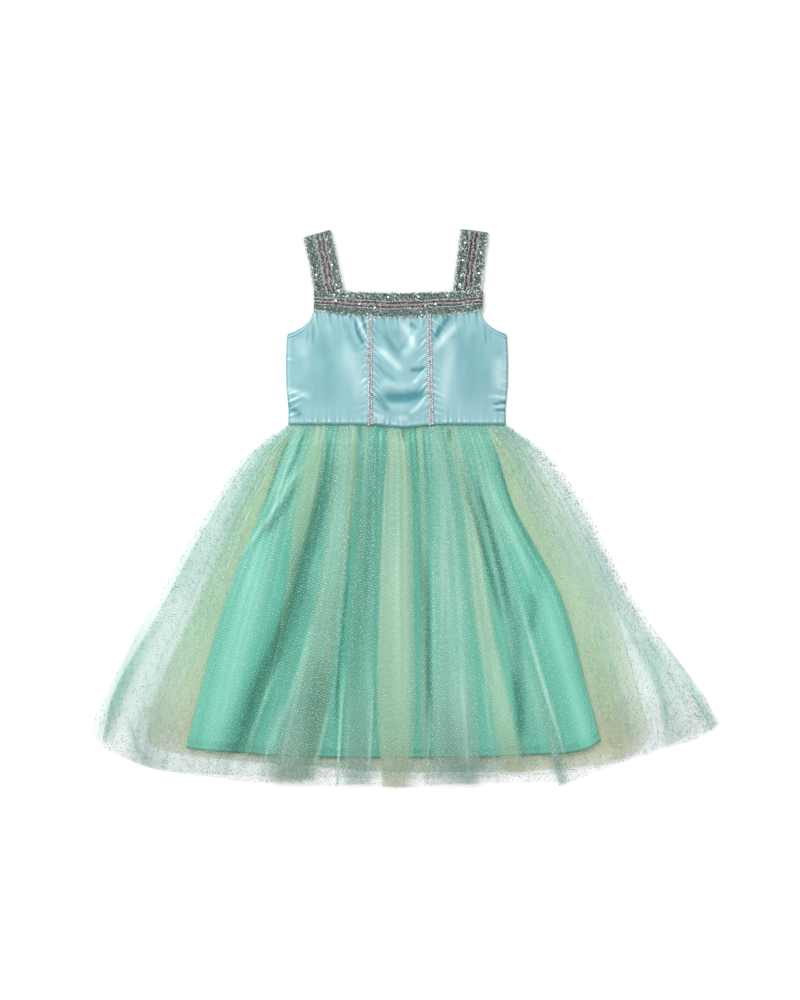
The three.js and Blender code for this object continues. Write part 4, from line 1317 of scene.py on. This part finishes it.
def trimSpangles(name, place, finish):
    along, across = np.array(spangles[name], float).T
    run, facing = facingOn(place, along, across)
    template, faces = disc(10, 0.3)
    tilted = unit(facing + rng.normal(0, 0.12, facing.shape))
    sizes = rng.uniform(*trimBeading["spangleSize"], len(along))
    return strew(name + "_spangles", template, faces, place(along, across) + facing * 1.7, run, tilted, sizes,
                 [finish], np.zeros(len(along), int))


def makeTrim(name, place, long, wide, stripes, finishes, loop=None):
    ribbon, sequinFinishes, beadFinishes, clear = finishes
    sequins, beads = dressTrim(long, wide, stripes)
    dressing = [trimSequins(name, place, sequins, sequinFinishes),
                trimBeads(name, place, beads, beadFinishes), trimSpangles(name, place, clear)]
    u, v = np.meshgrid(np.linspace(0, 1, int(long / 2)), np.linspace(0, 1, 16), indexing="ij")
    grid = place(u.ravel(), v.ravel()).reshape(u.shape + (3,))
    if loop is not None:
        grid = loop(grid)
    rows, columns = grid.shape[:2]
    flat = np.stack(np.meshgrid(np.arange(rows) * 2.0, np.linspace(0, wide, columns), indexing="ij"), -1)
    piece = makePiece(name, grid, gridFaces(rows, columns), [ribbon], [name], flat)
    thicken(piece, 0.6)


def strapLoop(grid):
    # the strap turns over at the shoulder and comes back under itself, flat on the surface
    top = grid[-1]
    ahead = unit(grid[-1] - grid[-2]) * (1, 1, 0)
    turns = []
    for angle in np.linspace(20, 160, 8):
        a = math.radians(angle)
        radius = (top[:, 2:] - 0.6) / 2
        point = top + ahead * radius * math.sin(a)
        point[:, 2:] = top[:, 2:] - radius + radius * math.cos(a)
        turns.append(point)
    under = grid[::-1].copy()
    under[..., 2] = 0.6
    return np.concatenate([grid, np.stack(turns), under[:-1]])


def makeTrims():
    ribbon = beaded("trim ribbon", *trimColours["ribbon"], 0.6, 0.1)
    sequinFinishes = [plain(name, colour, 0.28, 0.55, 0.4) for name, colour in trimColours["sequins"]]
    beadFinishes = [beaded(name, dark, pale, 0.3, 0.25) for name, dark, pale in trimColours["beads"]]
    clear = plain("clear spangle", (0.93, 0.98, 0.96, 1), 0.12, 0.15, 1.0)
    finishes = (ribbon, sequinFinishes, beadFinishes, clear)
    makeTrim("neckband", onBand, 230, 32, bandStripes,
             finishes)
    for side in ("left", "right"):
        makeTrim("strap_" + side, lambda along, across: onStrap(side, along, across), straps["long"],
                 straps["wide"], strapStripes(straps[side]["middle"]),
                 finishes, strapLoop)
    print("trims ready")


braid = {
    "half": 3.4, "from": -1.5, "to": 150, "rows": 76, "columns": 7, "pitch": 3.0, "thick": 0.5,
    # each column of beads: mm from the seam, mm along, size and the share of grey ones
    "beads": ((-2.1, 0, 1.3, 0.05), (0, 0.8, 0.9, 0.35), (2.1, 1.5, 1.3, 0.05)),
    "base": ((0.2, 0.27, 0.29, 1), (0.34, 0.42, 0.44, 1)),
    "colours": (("silver seed bead", (0.56, 0.62, 0.66, 1), (0.86, 0.92, 0.94, 1), 0.3),
                ("grey seed bead", (0.2, 0.24, 0.29, 1), (0.42, 0.47, 0.52, 1), 0.35),
                ("rose seed bead", (0.6, 0.5, 0.5, 1), (0.85, 0.77, 0.76, 1), 0.35)),
}


def braidHeight(x, y, across):
    crown = 2.1 - 0.5 * (across / braid["half"]) ** 2
    return np.maximum(frontUnder(x, y) + crown, bodiceHeight(x, y) + 0.7)


def makeBraid(side):
    # a flat braid of seed beads over the princess seam
    name = "seam_braid_" + side
    up = np.linspace(braid["from"], braid["to"], braid["rows"])
    aside = np.linspace(-braid["half"], braid["half"], braid["columns"])
    y, across = np.meshgrid(up, aside, indexing="ij")
    x = princessX(side, y) + across
    grid = np.stack([x, y, braidHeight(x, y, across)], -1)[::-1]
    base = beaded("braid base " + side, *braid["base"], 0.6, 0.0)
    piece = makePiece(name, grid, gridFaces(*x.shape), [base], [name], grid[..., :2] + 500)
    thicken(piece, braid["thick"])
    columns = []
    for offset, shift, size, grey in braid["beads"]:
        place = np.arange(-0.8 + shift, braid["to"], braid["pitch"])
        zigzag = 0.3 * np.cos(place * np.pi / braid["pitch"]) * np.sign(offset)
        kind = rng.choice(3, len(place), p=((1 - grey) * 0.55, grey, (1 - grey) * 0.45))
        columns.append((place, offset + zigzag, np.full(len(place), size), kind))
    place, across, size, kind = (np.concatenate(part) for part in zip(*columns))
    x = princessX(side, place) + across
    centres = np.stack([x, place, braidHeight(x, place, across) + 0.5], -1)
    upward, sideways = (np.tile(axis, (len(x), 1)) for axis in ((0.0, 0.0, 1.0), (1.0, 0.0, 0.0)))
    finishes = [beaded(f"{colour} {side}", dark, pale, rough, 0.1)
                for colour, dark, pale, rough in braid["colours"]]
    template, faces = ball()
    sizes = size * rng.uniform(0.88, 1.1, len(size))
    beads = strew(name + "_beads", template, faces, centres, sideways, upward, sizes, finishes,
                  kind, smooth=True)
    return [piece, beads]


waistSeam = {
    "half": 147, "points": 420, "below": 1.1, "above": 0.7, "size": 0.6,
    "colours": ((0.04, 0.18, 0.18, 1), (0.07, 0.26, 0.26, 1), (0.14, 0.36, 0.36, 1)),
}


def makeWaistSeam():
    # the seam's rolled edge: a thin uneven cord of satin just under the bodice, in darker colours than the
    # bodice that are partly painted shade along the seam
    x = np.linspace(-waistSeam["half"], waistSeam["half"], waistSeam["points"])
    y = waistline(x) - waistSeam["below"]
    y += 0.35 * waves(x, ((11.0, 0.5, 0.6), (19.0, 2.0, 0.7), (7.0, 1.0, 0.4)))
    z = frontUnder(x, np.zeros_like(x)) + waistSeam["above"]
    z += 0.2 * waves(x, ((9.0, 0.5, 0.6), (23.0, 2.0, 0.7)))
    size = waistSeam["size"] + 0.14 * waves(x, ((8.0, 0.5, 0.6), (13.0, 2.0, 0.5)))
    turns = np.linspace(0, 2 * np.pi, 9)
    grid = np.stack([np.stack([x, y - size * np.cos(turn), z + size * np.sin(turn)], -1) for turn in turns])
    finish = satin("waist seam satin", waistSeam["colours"], 0.5, 0.1)
    makePiece("waist_seam", grid, gridFaces(*grid.shape[:2]), [finish])
    print("waist seam ready")


makeStudio()
makeSkirt()
makeTrims()
makeBodice({"left": makeBraid("left"), "right": makeBraid("right")})
makeWaistSeam()
